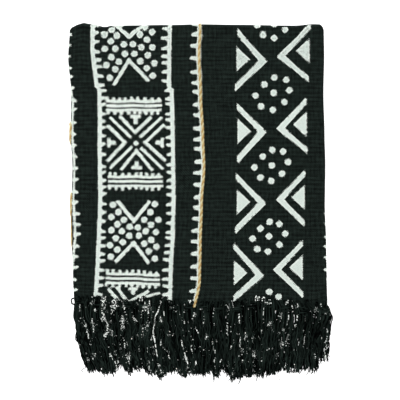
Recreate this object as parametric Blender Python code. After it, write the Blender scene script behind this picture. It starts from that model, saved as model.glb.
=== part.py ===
"""A mud cloth throw of eight woven strips, folded in four both ways, with a knotted fringe at its hems.

Units are metres, +Z is up, and the throw lies flat on the plane z = 0. Its folded top edge is towards +Y, and
its fringe towards -Y. The origin is under the middle of the folded throw's outline.
"""

import math

import bpy

# The cloth as it is woven and sewn.
STRIP_WIDTH = 0.152  # six inches, and eight strips make the 48 inch width
STRIP_COUNT = 8
CLOTH_THICK = 0.0013
SEAM_GAP = 0.0003
HEM_GAP = 0.0006  # between a hem and its fringe, more than a seam's as the hem turns the fold aslant

# The fold across the width: both sides to the middle, and then in half.
LAYER_PITCH = 0.0020
SEAM_LEAD = 0.0020  # how far the left seam lies in from the left fold
LEFT_BEND = LAYER_PITCH / 2
RIGHT_BEND = 1.5 * LAYER_PITCH
CLOTH_SHIFT = -0.0028  # the cloth's middle, left of the outline's middle
PACK_THICK = 3 * LAYER_PITCH + CLOTH_THICK

# The fold along the length: the four-layer pack goes back and forth four times.
PACK_PITCH = 0.0082
LENGTH_BEND = PACK_PITCH / 2
TOP_EDGE = 0.2148
BOTTOM_FOLD = -0.1164
TOP_FOLD_BACK = 0.0030  # how far the lower top fold stands in from the upper one
HEM_TOP = -0.1251  # the hem of the topmost pack, at the middle of its layers
HEM_LOW = -0.1236
HEM_STEP = math.pi / 2  # a layer's hem moves this much for each unit of its height in the pack

# The fringe: the last few threads of a hem, with the warp knotted below it.
HEADING = 0.0035
LOCKS_PER_HEM = 8
LOCK_WIDTH = {"root": 0.0080, "knot": 0.0095, "collar": 0.0085, "neck": 0.0115, "rest": 0.0150, "tip": 0.0145}
LOCK_THICK = {"knot": 0.0013, "collar": 0.0013, "neck": 0.0012, "rest": 0.0012, "tip": 0.0012}
KNOT_RISE = 0.0022  # the uppermost knots stand this much above their layer
KNOT_REACH = 0.0030
COLLAR_Y = -0.1385  # the fringe is level with its hem as far as this, and slopes down beyond it
NECK_Y = -0.1500
REST_Y = -0.1840  # and it rests from here to its tips
NECK_DROP = 0.28
REST_PITCH = 0.0016  # between the layers of fringe where they lie on each other
REST_GAP = 0.0024  # between the upper fringe and the lower one

# How finely the cloth is modelled. All layers have their columns at the same distances from the left bend.
COLUMNS = (0.0, 0.004, 0.012, 0.050, 0.100, 0.200, 0.250, 0.2877, 0.2957)
STRAIGHT_ROWS = 4
LENGTH_BEND_ROWS = 6
LEFT_BEND_COLUMNS = 4
RIGHT_BEND_COLUMNS = 6

# How far the sides and the middle seam stray from straight lines, at heights up the cloth.
# Columns: y, left, seam, right.
SIDE_ROWS = (
    (-0.1230, 0.0047, -0.0039, 0.0027),
    (-0.0930, 0.0035, 0.0003, 0.0019),
    (-0.0510, 0.0023, 0.0011, 0.0013),
    (-0.0030, 0.0015, 0.0027, -0.0002),
    (0.0426, 0.0027, 0.0057, 0.0003),
    (0.0810, 0.0004, 0.0042, -0.0007),
    (0.1290, 0.0010, 0.0016, -0.0020),
    (0.1770, -0.0019, -0.0003, -0.0015),
    (0.2070, -0.0002, 0.0010, -0.0021),
)

# How far the top edge drops below its highest place. Columns: x, drop.
TOP_ROWS = (
    (-0.1560, 0.0085),
    (-0.1520, 0.0050),
    (-0.1470, 0.0020),
    (-0.1404, 0.0000),
    (-0.1320, 0.0008),
    (-0.1140, 0.0044),
    (-0.1056, 0.0028),
    (-0.0360, 0.0020),
    (0.0000, 0.0012),
    (0.0420, 0.0018),
    (0.1140, 0.0028),
    (0.1370, 0.0010),
    (0.1434, 0.0012),
    (0.1470, 0.0036),
    (0.1500, 0.0080),
)
TOP_REACH = 0.070  # the drop of the top edge fades out over this length

# How far a lock's knot, fall and tip stand sideways from its root. Columns: x, knot, fall, tip.
FAN_ROWS = (
    (-0.150, -0.0015, 0.0060, 0.0140),
    (-0.110, 0.0000, 0.0050, 0.0100),
    (-0.050, 0.0000, 0.0040, 0.0080),
    (0.010, 0.0000, 0.0010, 0.0020),
    (0.080, 0.0000, 0.0000, 0.0000),
    (0.140, 0.0040, 0.0045, 0.0040),
)

# Where the tips of the fringe lie. Columns: x, y.
TIP_ROWS = (
    (-0.138, -0.2050),
    (-0.108, -0.2080),
    (-0.072, -0.2060),
    (-0.030, -0.2120),
    (0.006, -0.2060),
    (0.036, -0.2120),
    (0.066, -0.2080),
    (0.096, -0.2030),
    (0.126, -0.2020),
    (0.156, -0.1890),
)
TIP_STAGGER = 0.0030

# The soft rise and fall of the pile, as a share of its height.
SWELL = 0.035
SWELL_ACROSS = 0.210
SWELL_ALONG = 0.170

INK_BLACK = (0.010, 0.014, 0.012, 1.0)


def between(rows, place, column):
    """The value of one column of a table at a place, joined smoothly from row to row."""
    if place <= rows[0][0]:
        return rows[0][column]
    for low, high in zip(rows, rows[1:]):
        if place <= high[0]:
            share = (place - low[0]) / (high[0] - low[0])
            share = share * share * (3 - 2 * share)
            return low[column] + (high[column] - low[column]) * share
    return rows[-1][column]


def width_pieces():
    """The straight runs and bends of the fold across the width, in order from strip 1's free edge."""
    flap = 2 * STRIP_WIDTH - SEAM_LEAD - math.pi * LEFT_BEND / 2
    face = 2 * STRIP_WIDTH + SEAM_LEAD - math.pi * (LEFT_BEND + RIGHT_BEND) / 2
    left = CLOTH_SHIFT - (face + RIGHT_BEND - LEFT_BEND) / 2
    right = left + face
    low, high = 0.5 * LAYER_PITCH, 1.5 * LAYER_PITCH
    return (
        {"length": flap, "start": (left + flap, low), "heading": -1},
        {"length": math.pi * LEFT_BEND, "centre": (left, 2 * low), "radius": LEFT_BEND, "from": -90},
        {"length": face, "start": (left, high), "heading": 1},
        {"length": math.pi * RIGHT_BEND, "centre": (right, 0), "radius": RIGHT_BEND, "from": 90},
        {"length": face, "start": (right, -high), "heading": -1},
        {"length": math.pi * LEFT_BEND, "centre": (left, -2 * low), "radius": LEFT_BEND, "from": -90},
        {"length": flap, "start": (left, -low), "heading": 1},
    )


WIDTH_PIECES = width_pieces()


def width_point(u, side):
    """Where the cloth is across the folded width: (x, height in the pack) for one side of the sheet.

    u runs across all the strips, and side is 1 for the printed face and -1 for the back.
    """
    for piece in WIDTH_PIECES:
        if u <= piece["length"] or piece is WIDTH_PIECES[-1]:
            break
        u -= piece["length"]
    offset = side * CLOTH_THICK / 2
    if "heading" in piece:
        x, height = piece["start"]
        return x + piece["heading"] * u, height + piece["heading"] * offset
    turn = math.radians(piece["from"]) - u / piece["radius"]
    reach = piece["radius"] + offset
    return piece["centre"][0] + reach * math.cos(turn), piece["centre"][1] + reach * math.sin(turn)


def column_lines():
    """The x of each line of points that the layers share: the set columns, the seams and the right bend."""
    left, right = WIDTH_PIECES[1]["centre"][0], WIDTH_PIECES[3]["centre"][0]
    seams = [width_point(edge * STRIP_WIDTH, 0)[0] for edge in (1, 3)]
    return [left + column for column in COLUMNS] + seams + [right]


def strip_columns(strip):
    """The places across one strip where its mesh has a line of points."""
    first, last = (strip - 1) * STRIP_WIDTH, strip * STRIP_WIDTH
    places, begun = [], 0.0
    for piece in WIDTH_PIECES:
        ended = begun + piece["length"]
        if "heading" in piece:
            at = [begun + (line - piece["start"][0]) * piece["heading"] for line in column_lines()]
            places += [place for place in at if begun - 1e-7 < place < ended + 1e-7]
        else:
            count = LEFT_BEND_COLUMNS if piece["radius"] == LEFT_BEND else RIGHT_BEND_COLUMNS
            places += [begun + piece["length"] * k / count for k in range(count + 1)]
        begun = ended
    inner = (first + SEAM_GAP / 2, last - SEAM_GAP / 2)
    kept = {round(p, 7) for p in places if inner[0] + SEAM_GAP / 2 < p < inner[1] - SEAM_GAP / 2}
    return sorted(kept | set(inner))


def straight_span(strip):
    """The first and last place of a strip's longest straight run across the folded width."""
    first, last = (strip - 1) * STRIP_WIDTH, strip * STRIP_WIDTH
    spans, begun = [], 0.0
    for piece in WIDTH_PIECES:
        ended = begun + piece["length"]
        if "heading" in piece:
            spans.append((max(begun, first + SEAM_GAP / 2), min(ended, last - SEAM_GAP / 2)))
        begun = ended
    return max(spans, key=lambda span: span[1] - span[0])


def length_rows():
    """The places along the folded length where the mesh has a line of points.

    Each is (middle y, middle z, y and z of the pack's upward normal, share of the hem's step).
    """
    level = [PACK_THICK / 2 + k * PACK_PITCH for k in (3, 2, 1, 0)]
    top = TOP_EDGE - LENGTH_BEND - PACK_THICK / 2
    bottom = BOTTOM_FOLD + LENGTH_BEND + PACK_THICK / 2
    ends = ((HEM_TOP, top), (top, bottom), (bottom, top - TOP_FOLD_BACK), (top - TOP_FOLD_BACK, HEM_LOW))
    rows = []
    for pack, (begin, end) in enumerate(ends):
        up = 1 if pack % 2 == 0 else -1
        for k in range(STRAIGHT_ROWS + 1):
            share = k / STRAIGHT_ROWS
            step = (1 - share if pack == 0 else 0) + (share if pack == 3 else 0)
            rows.append((begin + (end - begin) * share, level[pack], 0.0, up, step))
        if pack == 3:
            break
        for k in range(1, LENGTH_BEND_ROWS):
            turn = math.pi * k / LENGTH_BEND_ROWS
            y = end + up * LENGTH_BEND * math.sin(turn)
            z = level[pack] - LENGTH_BEND * (1 - math.cos(turn))
            rows.append((y, z, math.sin(turn), up * math.cos(turn), 0.0))
    return rows


def swollen(x, y, z):
    """A height in the pile, with the pile's soft rise and fall."""
    wave = math.sin(2 * math.pi * x / SWELL_ACROSS + 0.6) * math.cos(2 * math.pi * y / SWELL_ALONG)
    return z * (1 + SWELL * wave)


def settle(x, y, z):
    """Moves a point of the neatly folded throw to where the real, uneven one has it."""
    left, seam, right = (between(SIDE_ROWS, y, column) for column in (1, 2, 3))
    half = (WIDTH_PIECES[3]["centre"][0] - WIDTH_PIECES[1]["centre"][0]) / 2
    across = (x - CLOTH_SHIFT) / half
    if across < 0:
        x += seam + (left - seam) * min(-across, 1)
    else:
        x += seam + (right - seam) * min(across, 1)
    near_top = min(max((y - TOP_EDGE + TOP_REACH) / TOP_REACH, 0), 1)
    y -= between(TOP_ROWS, x, 1) * near_top * near_top
    return x, y, swollen(x, y, z)


def cloth_point(u, row, side):
    """A point of the cloth: u across the strips, in one row along the length, on one side of the sheet."""
    x, height = width_point(u, side)
    y, z, normal_y, normal_z, step = row
    y += step * HEM_STEP * height
    return settle(x, y + normal_y * height, z + normal_z * height)


def add_solid(solid, middle):
    """Makes one closed mesh object, moved so that the middle of the throw's outline is at the origin."""
    mesh = bpy.data.meshes.new(solid["name"])
    points = [(x - middle[0], y - middle[1], z) for x, y, z in solid["points"]]
    mesh.from_pydata(points, [], solid["faces"])
    mesh.materials.append(cotton(solid["name"], solid["roughness"]))
    mesh.update()
    bpy.context.scene.collection.objects.link(bpy.data.objects.new(solid["name"], mesh))


def slab_faces(columns, rows, first=0):
    """The faces of a slab of columns by rows points, the face side's points first and then the back's."""
    back = first + columns * rows

    def at(column, row, start):
        return start + column * rows + row

    faces = []
    for c in range(columns - 1):
        for r in range(rows - 1):
            face = [at(c, r, first), at(c + 1, r, first), at(c + 1, r + 1, first), at(c, r + 1, first)]
            faces.append(face)
            faces.append([corner + columns * rows for corner in reversed(face)])
    for r in range(rows - 1):
        faces.append([at(0, r, back), at(0, r, first), at(0, r + 1, first), at(0, r + 1, back)])
        end = columns - 1
        faces.append([at(end, r, first), at(end, r, back), at(end, r + 1, back), at(end, r + 1, first)])
    for c in range(columns - 1):
        faces.append([at(c, 0, back), at(c + 1, 0, back), at(c + 1, 0, first), at(c, 0, first)])
        end = rows - 1
        faces.append([at(c, end, first), at(c + 1, end, first), at(c + 1, end, back), at(c, end, back)])
    return faces


def woven_strip(strip, rows):
    """One woven strip, folded across with its neighbours and back and forth along its length."""
    columns = strip_columns(strip)
    points = [cloth_point(u, row, side) for side in (1, -1) for u in columns for row in rows]
    faces = slab_faces(len(columns), len(rows))
    return {"name": f"strip_{strip}", "points": points, "faces": faces, "roughness": 0.9}


def rest_height(height, upper):
    """How high the middle of a layer's fringe lies once it has fallen to the floor or on the layers below."""
    below = 1.5 + height / LAYER_PITCH if upper else 1.5 - height / LAYER_PITCH
    base = LOCK_THICK["rest"] / 2
    if upper:
        base += 3 * REST_PITCH + REST_GAP
    return base + below * REST_PITCH


def lock_stations(x, y, height, upper, number, phase):
    """One lock from its knot to its tip, as rows of (x, y, z, half width, half thickness)."""
    hem_z = PACK_THICK / 2 + (3 * PACK_PITCH if upper else 0) + (height if upper else -height)
    rest_z = rest_height(height, upper)
    knot, fall, tip = (between(FAN_ROWS, x, column) for column in (1, 2, 3))
    tip_y = between(TIP_ROWS, x + tip, 1) + TIP_STAGGER * math.sin(2.4 * number + phase)
    rise = KNOT_RISE if upper and height > LAYER_PITCH else 0.0
    stations = (
        ("knot", x + knot, y - KNOT_REACH, hem_z + rise / 2, rise),
        ("collar", x + knot, COLLAR_Y, hem_z, 0.0),
        ("neck", x + knot + (fall - knot) / 3, NECK_Y, hem_z + (rest_z - hem_z) * NECK_DROP, 0.0),
        ("rest", x + fall, REST_Y, rest_z, 0.0),
        ("tip", x + tip, tip_y, rest_z, 0.0),
    )
    return [
        (place_x, place_y, z, LOCK_WIDTH[name] / 2, (LOCK_THICK[name] + more) / 2)
        for name, place_x, place_y, z, more in stations
    ]


def fringe(strip, upper, rows):
    """The heading of one strip's hem, parted from the cloth by the seam gap, with its knotted locks."""
    row = rows[0] if upper else rows[-1]
    low, high = straight_span(strip)
    pitch = (high - low) / LOCKS_PER_HEM
    height = sum(width_point((low + high) / 2, side)[1] for side in (1, -1)) / 2
    half = LOCK_WIDTH["root"] / 2
    centres = [low + (k + 0.5) * pitch for k in range(LOCKS_PER_HEM)]
    bends = [u for u in strip_columns(strip) if u < low - 1e-6 or u > high + 1e-6]
    stations = sorted(bends + [low, high] + [c + s * half for c in centres for s in (-1, 1)])

    ends = []
    for distance in (HEM_GAP, HEM_GAP + HEADING):
        moved = (row[0] - distance,) + row[1:]
        ends.append([[cloth_point(u, moved, side) for u in stations] for side in (1, -1)])
    count = len(stations)
    points = [point for side in (0, 1) for c in range(count) for point in (ends[0][side][c], ends[1][side][c])]
    faces = slab_faces(count, 2)

    phase = 0.7 * strip + (0.0 if upper else 1.9)
    roots = {stations.index(c - half): number for number, c in enumerate(centres)}
    outer = 2 * count
    open_faces = {tuple(sorted((2 * c + 1, 2 * c + 3, outer + 2 * c + 1, outer + 2 * c + 3))) for c in roots}
    faces = [face for face in faces if tuple(sorted(face)) not in open_faces]
    for c, number in roots.items():
        ring = [2 * c + 1, 2 * c + 3, outer + 2 * c + 3, outer + 2 * c + 1]
        root = [points[i] for i in ring]
        x = sum(p[0] for p in root) / 4
        y = sum(p[1] for p in root) / 4
        mirrored = root[0][0] > root[1][0]
        upturned = root[0][2] > root[3][2]
        for place_x, place_y, z, wide, thick in lock_stations(x, y, height, upper, number, phase):
            across = -wide if mirrored else wide
            over = thick if upturned else -thick
            new = len(points)
            corners = ((-across, over), (across, over), (across, -over), (-across, -over))
            points += [(place_x + dx, place_y, swollen(place_x + dx, place_y, z + dz)) for dx, dz in corners]
            ahead = [new, new + 1, new + 2, new + 3]
            faces += [[ring[k], ring[(k + 1) % 4], ahead[(k + 1) % 4], ahead[k]] for k in range(4)]
            ring = ahead
        faces.append(ring)
    if upper:
        faces = [face[::-1] for face in faces]
    name = f"fringe_{strip}_{'upper' if upper else 'lower'}"
    return {"name": name, "points": points, "faces": faces, "roughness": 0.95}


def cotton(name, roughness):
    """A black cotton, as a plain Principled finish."""
    material = bpy.data.materials.new(f"{name}_cotton")
    material.use_nodes = True
    finish = material.node_tree.nodes["Principled BSDF"]
    finish.inputs["Base Color"].default_value = INK_BLACK
    finish.inputs["Roughness"].default_value = roughness
    finish.inputs["Metallic"].default_value = 0.0
    return material


def main():
    for leftover in list(bpy.data.objects):
        bpy.data.objects.remove(leftover)
    rows = length_rows()
    solids = []
    for strip in range(1, STRIP_COUNT + 1):
        solids += [woven_strip(strip, rows), fringe(strip, True, rows), fringe(strip, False, rows)]
    points = [point for solid in solids for point in solid["points"]]
    middle = [(min(p[k] for p in points) + max(p[k] for p in points)) / 2 for k in (0, 1)]
    for solid in solids:
        add_solid(solid, middle)


main()
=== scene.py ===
"""The looks of a folded mud cloth throw: painted strips, their sewing and the knotted fringe."""

import math

import bpy
import numpy as np
from bpy.props import FloatProperty, FloatVectorProperty, IntProperty, PointerProperty
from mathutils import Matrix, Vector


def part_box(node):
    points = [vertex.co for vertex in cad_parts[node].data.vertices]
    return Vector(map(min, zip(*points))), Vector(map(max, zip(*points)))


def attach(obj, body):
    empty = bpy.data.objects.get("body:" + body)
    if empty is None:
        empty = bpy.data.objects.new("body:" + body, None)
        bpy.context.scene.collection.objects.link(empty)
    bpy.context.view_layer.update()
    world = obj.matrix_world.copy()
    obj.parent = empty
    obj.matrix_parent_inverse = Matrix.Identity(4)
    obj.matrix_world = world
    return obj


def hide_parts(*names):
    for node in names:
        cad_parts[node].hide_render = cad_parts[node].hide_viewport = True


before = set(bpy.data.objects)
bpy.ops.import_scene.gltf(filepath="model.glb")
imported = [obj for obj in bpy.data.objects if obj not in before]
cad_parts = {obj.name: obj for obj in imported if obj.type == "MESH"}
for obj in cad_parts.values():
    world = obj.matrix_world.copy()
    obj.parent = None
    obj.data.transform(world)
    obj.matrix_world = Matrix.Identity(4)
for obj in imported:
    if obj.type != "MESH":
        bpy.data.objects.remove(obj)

bl_info = {
    "name": "Folded mud cloth throw",
    "version": (1, 0, 0),
    "blender": (4, 5, 0),
    "location": "3D View > Sidebar > Throw",
    "description": "Painted cotton strips, seam thread, knotted fringe and a plain stage",
    "category": "Object",
}

# The cloth and its folds, in metres, as the solids have them.
STRIP_WIDTH = 0.152
STRIP_COUNT = 8
CLOTH_THICK = 0.0013
SEAM_GAP = 0.0003
LAYER_PITCH = 0.0020
SEAM_LEAD = 0.0020
LEFT_BEND = LAYER_PITCH / 2
RIGHT_BEND = 1.5 * LAYER_PITCH
CLOTH_SHIFT = -0.0028
PACK_THICK = 3 * LAYER_PITCH + CLOTH_THICK
PACK_PITCH = 0.0082
LENGTH_BEND = PACK_PITCH / 2
TOP_EDGE = 0.2148
BOTTOM_FOLD = -0.1164
TOP_FOLD_BACK = 0.0030
HEM_TOP = -0.1251
HEM_LOW = -0.1236
HEM_STEP = math.pi / 2
LOCKS_PER_HEM = 8
COLLAR_Y = -0.1385
NECK_Y = -0.1500
REST_Y = -0.1840
NECK_DROP = 0.28
REST_PITCH = 0.0016
REST_GAP = 0.0024
REST_THICK = 0.0012
SWELL = 0.035
SWELL_ACROSS = 0.210
SWELL_ALONG = 0.170

# How the solids are cut into columns and rows, to set this frame on theirs.
SOLID_COLUMNS = (0.004, 0.012, 0.050, 0.100)
SOLID_ROWS = 4
SOLID_BEND_ROWS = 6

# How far the cloth has crept round the fold at its left and at its right edge. Columns: y, creep.
LEFT_CREEP = (
    (-0.1230, -0.0078),
    (-0.0960, -0.0084),
    (-0.0840, -0.0070),
    (-0.0760, -0.0052),
    (-0.0640, -0.0041),
    (-0.0576, -0.0031),
    (-0.0456, -0.0022),
    (-0.0200, -0.0027),
    (0.0024, -0.0037),
    (0.0744, -0.0038),
    (0.1224, -0.0038),
    (0.1300, -0.0055),
    (0.1370, -0.0064),
    (0.1500, -0.0079),
    (0.2000, -0.0088),
)
RIGHT_CREEP = (
    (-0.1230, 0.0070),
    (-0.0930, 0.0062),
    (-0.0870, 0.0032),
    (-0.0500, 0.0036),
    (-0.0420, 0.0048),
    (-0.0140, 0.0052),
    (-0.0060, 0.0068),
    (0.2000, 0.0075),
)
CREEP_REACH = 0.060

# How far the left seam's slack thread has slipped out over the fold. Columns: y, slip.
SLACK_ROWS = (
    (-0.0200, 0.0000),
    (-0.0080, 0.0016),
    (0.0060, 0.0022),
    (0.0120, 0.0000),
    (0.0640, 0.0000),
    (0.0760, 0.0022),
    (0.0900, 0.0026),
    (0.0980, 0.0000),
)
TWIST_PITCH = 0.0092

# Half the width of a lock of fringe from its root to its tip.
LOCK_HALF = {
    "root": 0.0090, "knot": 0.0068, "collar": 0.0086, "neck": 0.0094, "middle": 0.0094, "rest": 0.0094,
    "tip": 0.0090,
}
LOOSE_HALF = 0.0092

# Past these places the outermost locks are tied evenly and have no loose yarns.
EVEN_LOCKS = 0.128
TIGHT_LOCKS = 0.135

YARN_RADIUS = 0.00072
TIE_RADIUS = 0.00075
BUNDLES = 4
WRAP_RINGS = 15
LOOPS_PER_LOCK = 3

# The share of painted yarns over the width of each kind of strip. Columns: across in threads, share.
LADDER_YARNS = (
    (0, 0.25), (6, 0.25), (9, 0.10), (14, 0.12), (18, 0.45), (100, 0.45), (104, 0.10), (127, 0.25),
)
DIAMOND_YARNS = (
    (0, 0.10), (30, 0.10), (38, 0.40), (96, 0.40), (102, 0.08), (116, 0.10), (119, 0.40), (127, 0.40),
)

# Yarns that lie on top, in threads from the middle. Columns: four places, then radius and paint share.
LAID_YARNS = (
    (-38.1, -98.8, -44.6, -114.0, -47.4, -131.0, -42.3, -154.7, 0.00062, 0.95),
    (-39.1, -102.5, -45.4, -117.0, -46.8, -129.0, -43.6, -148.0, 0.00050, 0.85),
    (-4.6, -108.0, -9.6, -121.0, -11.6, -129.0, -8.2, -138.0, 0.00065, 0.62),
    (-4.6, -124.0, -1.0, -134.0, 2.4, -143.0, 2.4, -163.0, 0.00060, 0.60),
    (7.4, -122.0, 7.2, -131.0, 4.2, -142.0, 0.9, -164.0, 0.00065, 0.62),
    (-18.8, -138.0, -17.2, -145.0, -15.6, -151.0, -12.4, -162.0, 0.00062, 0.85),
    (27.4, -120.5, 27.4, -124.0, 27.2, -128.0, 26.8, -131.5, 0.00070, 0.90),
    (-114.4, -122.0, -113.0, -128.0, -111.6, -134.0, -110.0, -142.0, 0.00060, 0.65),
    (-108.0, -116.0, -107.0, -124.0, -105.6, -132.0, -104.0, -142.0, 0.00060, 0.62),
    (39.0, -113.0, 39.0, -116.0, 39.2, -118.0, 39.6, -121.0, 0.00065, 0.85),
    (96.8, -109.0, 97.2, -114.0, 97.0, -118.0, 95.8, -123.0, 0.00065, 0.85),
    (-76.0, -103.0, -75.6, -106.0, -74.8, -110.0, -73.6, -114.0, 0.00065, 0.80),
    (22.0, -152.0, 21.4, -156.0, 20.4, -160.0, 19.6, -164.0, 0.00065, 0.80),
    (-59.6, -161.0, -56.6, -165.0, -53.6, -169.4, -50.8, -173.8, 0.00070, 0.00),
    (-113.0, -163.0, -116.0, -166.6, -118.4, -168.0, -117.6, -170.4, 0.00050, 0.40),
    (77.4, -170.0, 78.0, -174.0, 79.6, -177.0, 80.0, -180.0, 0.00034, 0.40),
    (-125.5, -96.4, -128.4, -96.2, -128.8, -101.4, -125.5, -102.8, 0.00100, 0.20),
)

# Blots of paint on the fringe, in threads from the middle. Columns: across, up, reach.
BLOTS = (
    (-108.9, -99.6, 2.0), (-114.6, -104.7, 1.0), (-105.0, -108.0, 1.3), (-96.6, -98.0, 3.6),
    (-94.8, -105.5, 1.8), (-85.8, -103.5, 2.5), (-75.9, -103.8, 1.8), (-87.3, -109.2, 1.6),
    (-92.9, -110.5, 1.8), (-95.7, -114.7, 1.5), (-107.9, -121.4, 1.4), (-106.2, -126.0, 1.6),
    (-114.0, -123.3, 1.5), (-112.0, -131.0, 1.5), (-92.9, -124.6, 2.6), (-89.7, -120.5, 1.2),
    (-92.2, -129.7, 3.2), (-87.6, -131.7, 2.2), (-77.5, -117.6, 3.0), (-78.4, -125.3, 1.9),
    (-64.5, -118.5, 2.2), (-53.7, -104.7, 4.0), (-57.0, -124.6, 1.8), (-57.0, -129.0, 1.8),
    (-56.7, -134.2, 1.5), (-52.8, -123.0, 2.2), (-52.6, -128.0, 2.0), (-73.3, -141.6, 1.4),
    (-84.9, -151.0, 1.6), (-83.4, -160.0, 2.2), (-71.0, -153.5, 2.8), (-52.2, -163.0, 1.6),
    (-106.2, -153.5, 2.2), (-112.0, -158.0, 1.5), (-38.7, -117.6, 1.8), (-30.6, -131.5, 1.6),
    (-36.0, -146.4, 1.3), (-38.0, -170.1, 1.7), (-44.4, -170.0, 1.7), (-3.9, -112.6, 1.6),
    (3.8, -122.0, 1.4), (6.4, -134.5, 2.0), (-14.6, -156.7, 2.0), (-20.4, -168.2, 1.5), (38.0, -131.7, 1.5),
    (40.4, -141.6, 1.5), (41.6, -148.6, 1.8), (43.4, -159.9, 1.8), (45.2, -133.9, 1.9), (53.3, -135.8, 2.0),
    (53.9, -151.5, 2.6), (70.0, -121.5, 2.6), (72.8, -127.8, 1.4), (80.5, -113.5, 2.2), (83.4, -127.2, 1.6),
    (79.2, -131.0, 1.6), (87.9, -134.9, 1.3), (81.2, -142.5, 2.6), (67.9, -147.0, 1.9), (78.3, -153.5, 1.8),
    (86.0, -102.5, 2.0), (56.8, -96.4, 2.6), (61.9, -97.4, 1.6), (68.4, -101.0, 1.8), (98.0, -103.8, 1.6),
    (116.0, -108.0, 2.2), (125.4, -101.5, 1.9), (127.6, -111.2, 2.3), (115.0, -154.0, 2.0),
    (124.0, -153.0, 1.8),
)

# How far the top hem is drawn up by its knots. Columns: x, lift.
HEM_ROWS = (
    (-0.153, 0.0060),
    (-0.120, 0.0060),
    (-0.108, 0.0018),
    (-0.087, 0.0006),
    (-0.073, 0.0040),
    (-0.052, 0.0062),
    (-0.040, 0.0028),
    (-0.025, 0.0004),
    (0.041, 0.0006),
    (0.057, 0.0052),
    (0.077, 0.0050),
    (0.094, 0.0014),
    (0.117, 0.0012),
    (0.128, -0.0020),
    (0.138, -0.0018),
    (0.149, 0.0024),
)
HEM_REACH = 0.030

# The crease along the right edge of the top face. Columns: y, x, depth.
CREASE_ROWS = (
    (-0.0100, 0.1480, 0.0000),
    (0.0080, 0.1462, 0.0006),
    (0.0400, 0.1446, 0.0008),
    (0.0800, 0.1440, 0.0008),
    (0.1220, 0.1436, 0.0005),
    (0.1500, 0.1434, 0.0000),
)
CREASE_WIDTH = 0.0011

# How far the sides and the middle seam stray. Columns: y, left, seam, right.
SIDE_ROWS = (
    (-0.1230, 0.0047, -0.0039, 0.0027),
    (-0.0930, 0.0035, 0.0003, 0.0019),
    (-0.0510, 0.0023, 0.0011, 0.0013),
    (-0.0030, 0.0015, 0.0027, -0.0002),
    (0.0426, 0.0027, 0.0057, 0.0003),
    (0.0810, 0.0004, 0.0042, -0.0007),
    (0.1290, 0.0010, 0.0016, -0.0020),
    (0.1770, -0.0023, -0.0003, -0.0010),
    (0.2070, -0.0008, 0.0010, -0.0014),
)

# How far the top edge drops. Columns: x, drop.
TOP_ROWS = (
    (-0.1560, 0.0075),
    (-0.1520, 0.0040),
    (-0.1470, 0.0014),
    (-0.1404, -0.0004),
    (-0.1320, 0.0008),
    (-0.1140, 0.0044),
    (-0.1056, 0.0028),
    (-0.0360, 0.0020),
    (0.0000, 0.0012),
    (0.0420, 0.0018),
    (0.1140, 0.0028),
    (0.1370, 0.0010),
    (0.1434, 0.0012),
    (0.1470, 0.0036),
    (0.1500, 0.0080),
)
TOP_REACH = 0.070

# How far the folds stand out in the visual model and over how wide a band, and the edge threads' ripple.
FOLD_PUFF = 0.0008
PUFF_REACH = 0.008
FOLD_RIPPLE = 0.00018
RIPPLE_PITCH = 0.0031

# Over how wide a band the top face's waves fade out towards its side folds and its far fold.
SIDE_FADE = 0.012
FAR_FADE = 0.020
WAVE_HEIGHT = 0.00042

# The colour of the yarns' paint at its brightest, whiter than the cloth's paint: a painted highlight that
# makes up for the shade the fringe lies in.
YARN_PAINT_HIGHLIGHT = (0.9, 0.93, 0.9, 1.0)

# The camera's height over the top face, which sets how much smaller it sees the places that lie lower.
VIEW_HEIGHT = 1.6
VIEW_Y = 0.0024

# How far a lock's knot, fall and tip stand sideways from its root. Columns: x, knot, fall, tip.
FAN_ROWS = (
    (-0.146, -0.0036, 0.0056, 0.0166),
    (-0.126, -0.0016, 0.0062, 0.0124),
    (-0.100, 0.0000, 0.0050, 0.0096),
    (-0.050, 0.0000, 0.0040, 0.0080),
    (0.010, 0.0000, 0.0010, 0.0020),
    (0.070, 0.0000, 0.0000, 0.0000),
    (0.105, 0.0026, 0.0012, 0.0003),
    (0.124, 0.0056, 0.0034, 0.0022),
    (0.141, 0.0112, 0.0056, 0.0074),
)

# Where the tips of the fringe lie, in threads from the middle as the camera sees them. Columns: across, up.
TIP_ROWS = (
    (-121.0, -150.0), (-115.0, -166.0), (-111.0, -172.0), (-102.5, -169.0), (-94.0, -171.5),
    (-86.0, -170.0), (-79.0, -163.5), (-72.0, -171.0), (-63.5, -168.0), (-56.5, -163.5), (-51.5, -172.0),
    (-43.5, -174.4), (-36.5, -173.8), (-27.0, -168.0), (-21.5, -171.0), (-15.5, -175.0), (-9.5, -170.5),
    (-0.5, -173.0), (10.5, -169.0), (17.5, -177.0), (22.5, -164.5), (29.5, -175.0), (33.5, -179.0),
    (44.0, -175.0), (54.5, -173.6), (68.5, -173.0), (78.5, -170.5), (82.5, -165.5), (88.5, -170.2),
    (101.0, -168.8), (115.5, -169.5), (117.5, -168.0), (118.8, -158.5), (125.0, -158.0), (130.0, -155.0),
)

# How far the corners of painted lines are rounded, in threads.
CORNER = 0.6

# The painted chart counts in threads of the cloth, from the middle of the throw, as an embroiderer would.
THREAD = 0.0012

# How far the paint of odd strips stands to the right and down, in threads.
CHART_SHIFT = (0.35, 0.32)

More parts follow.
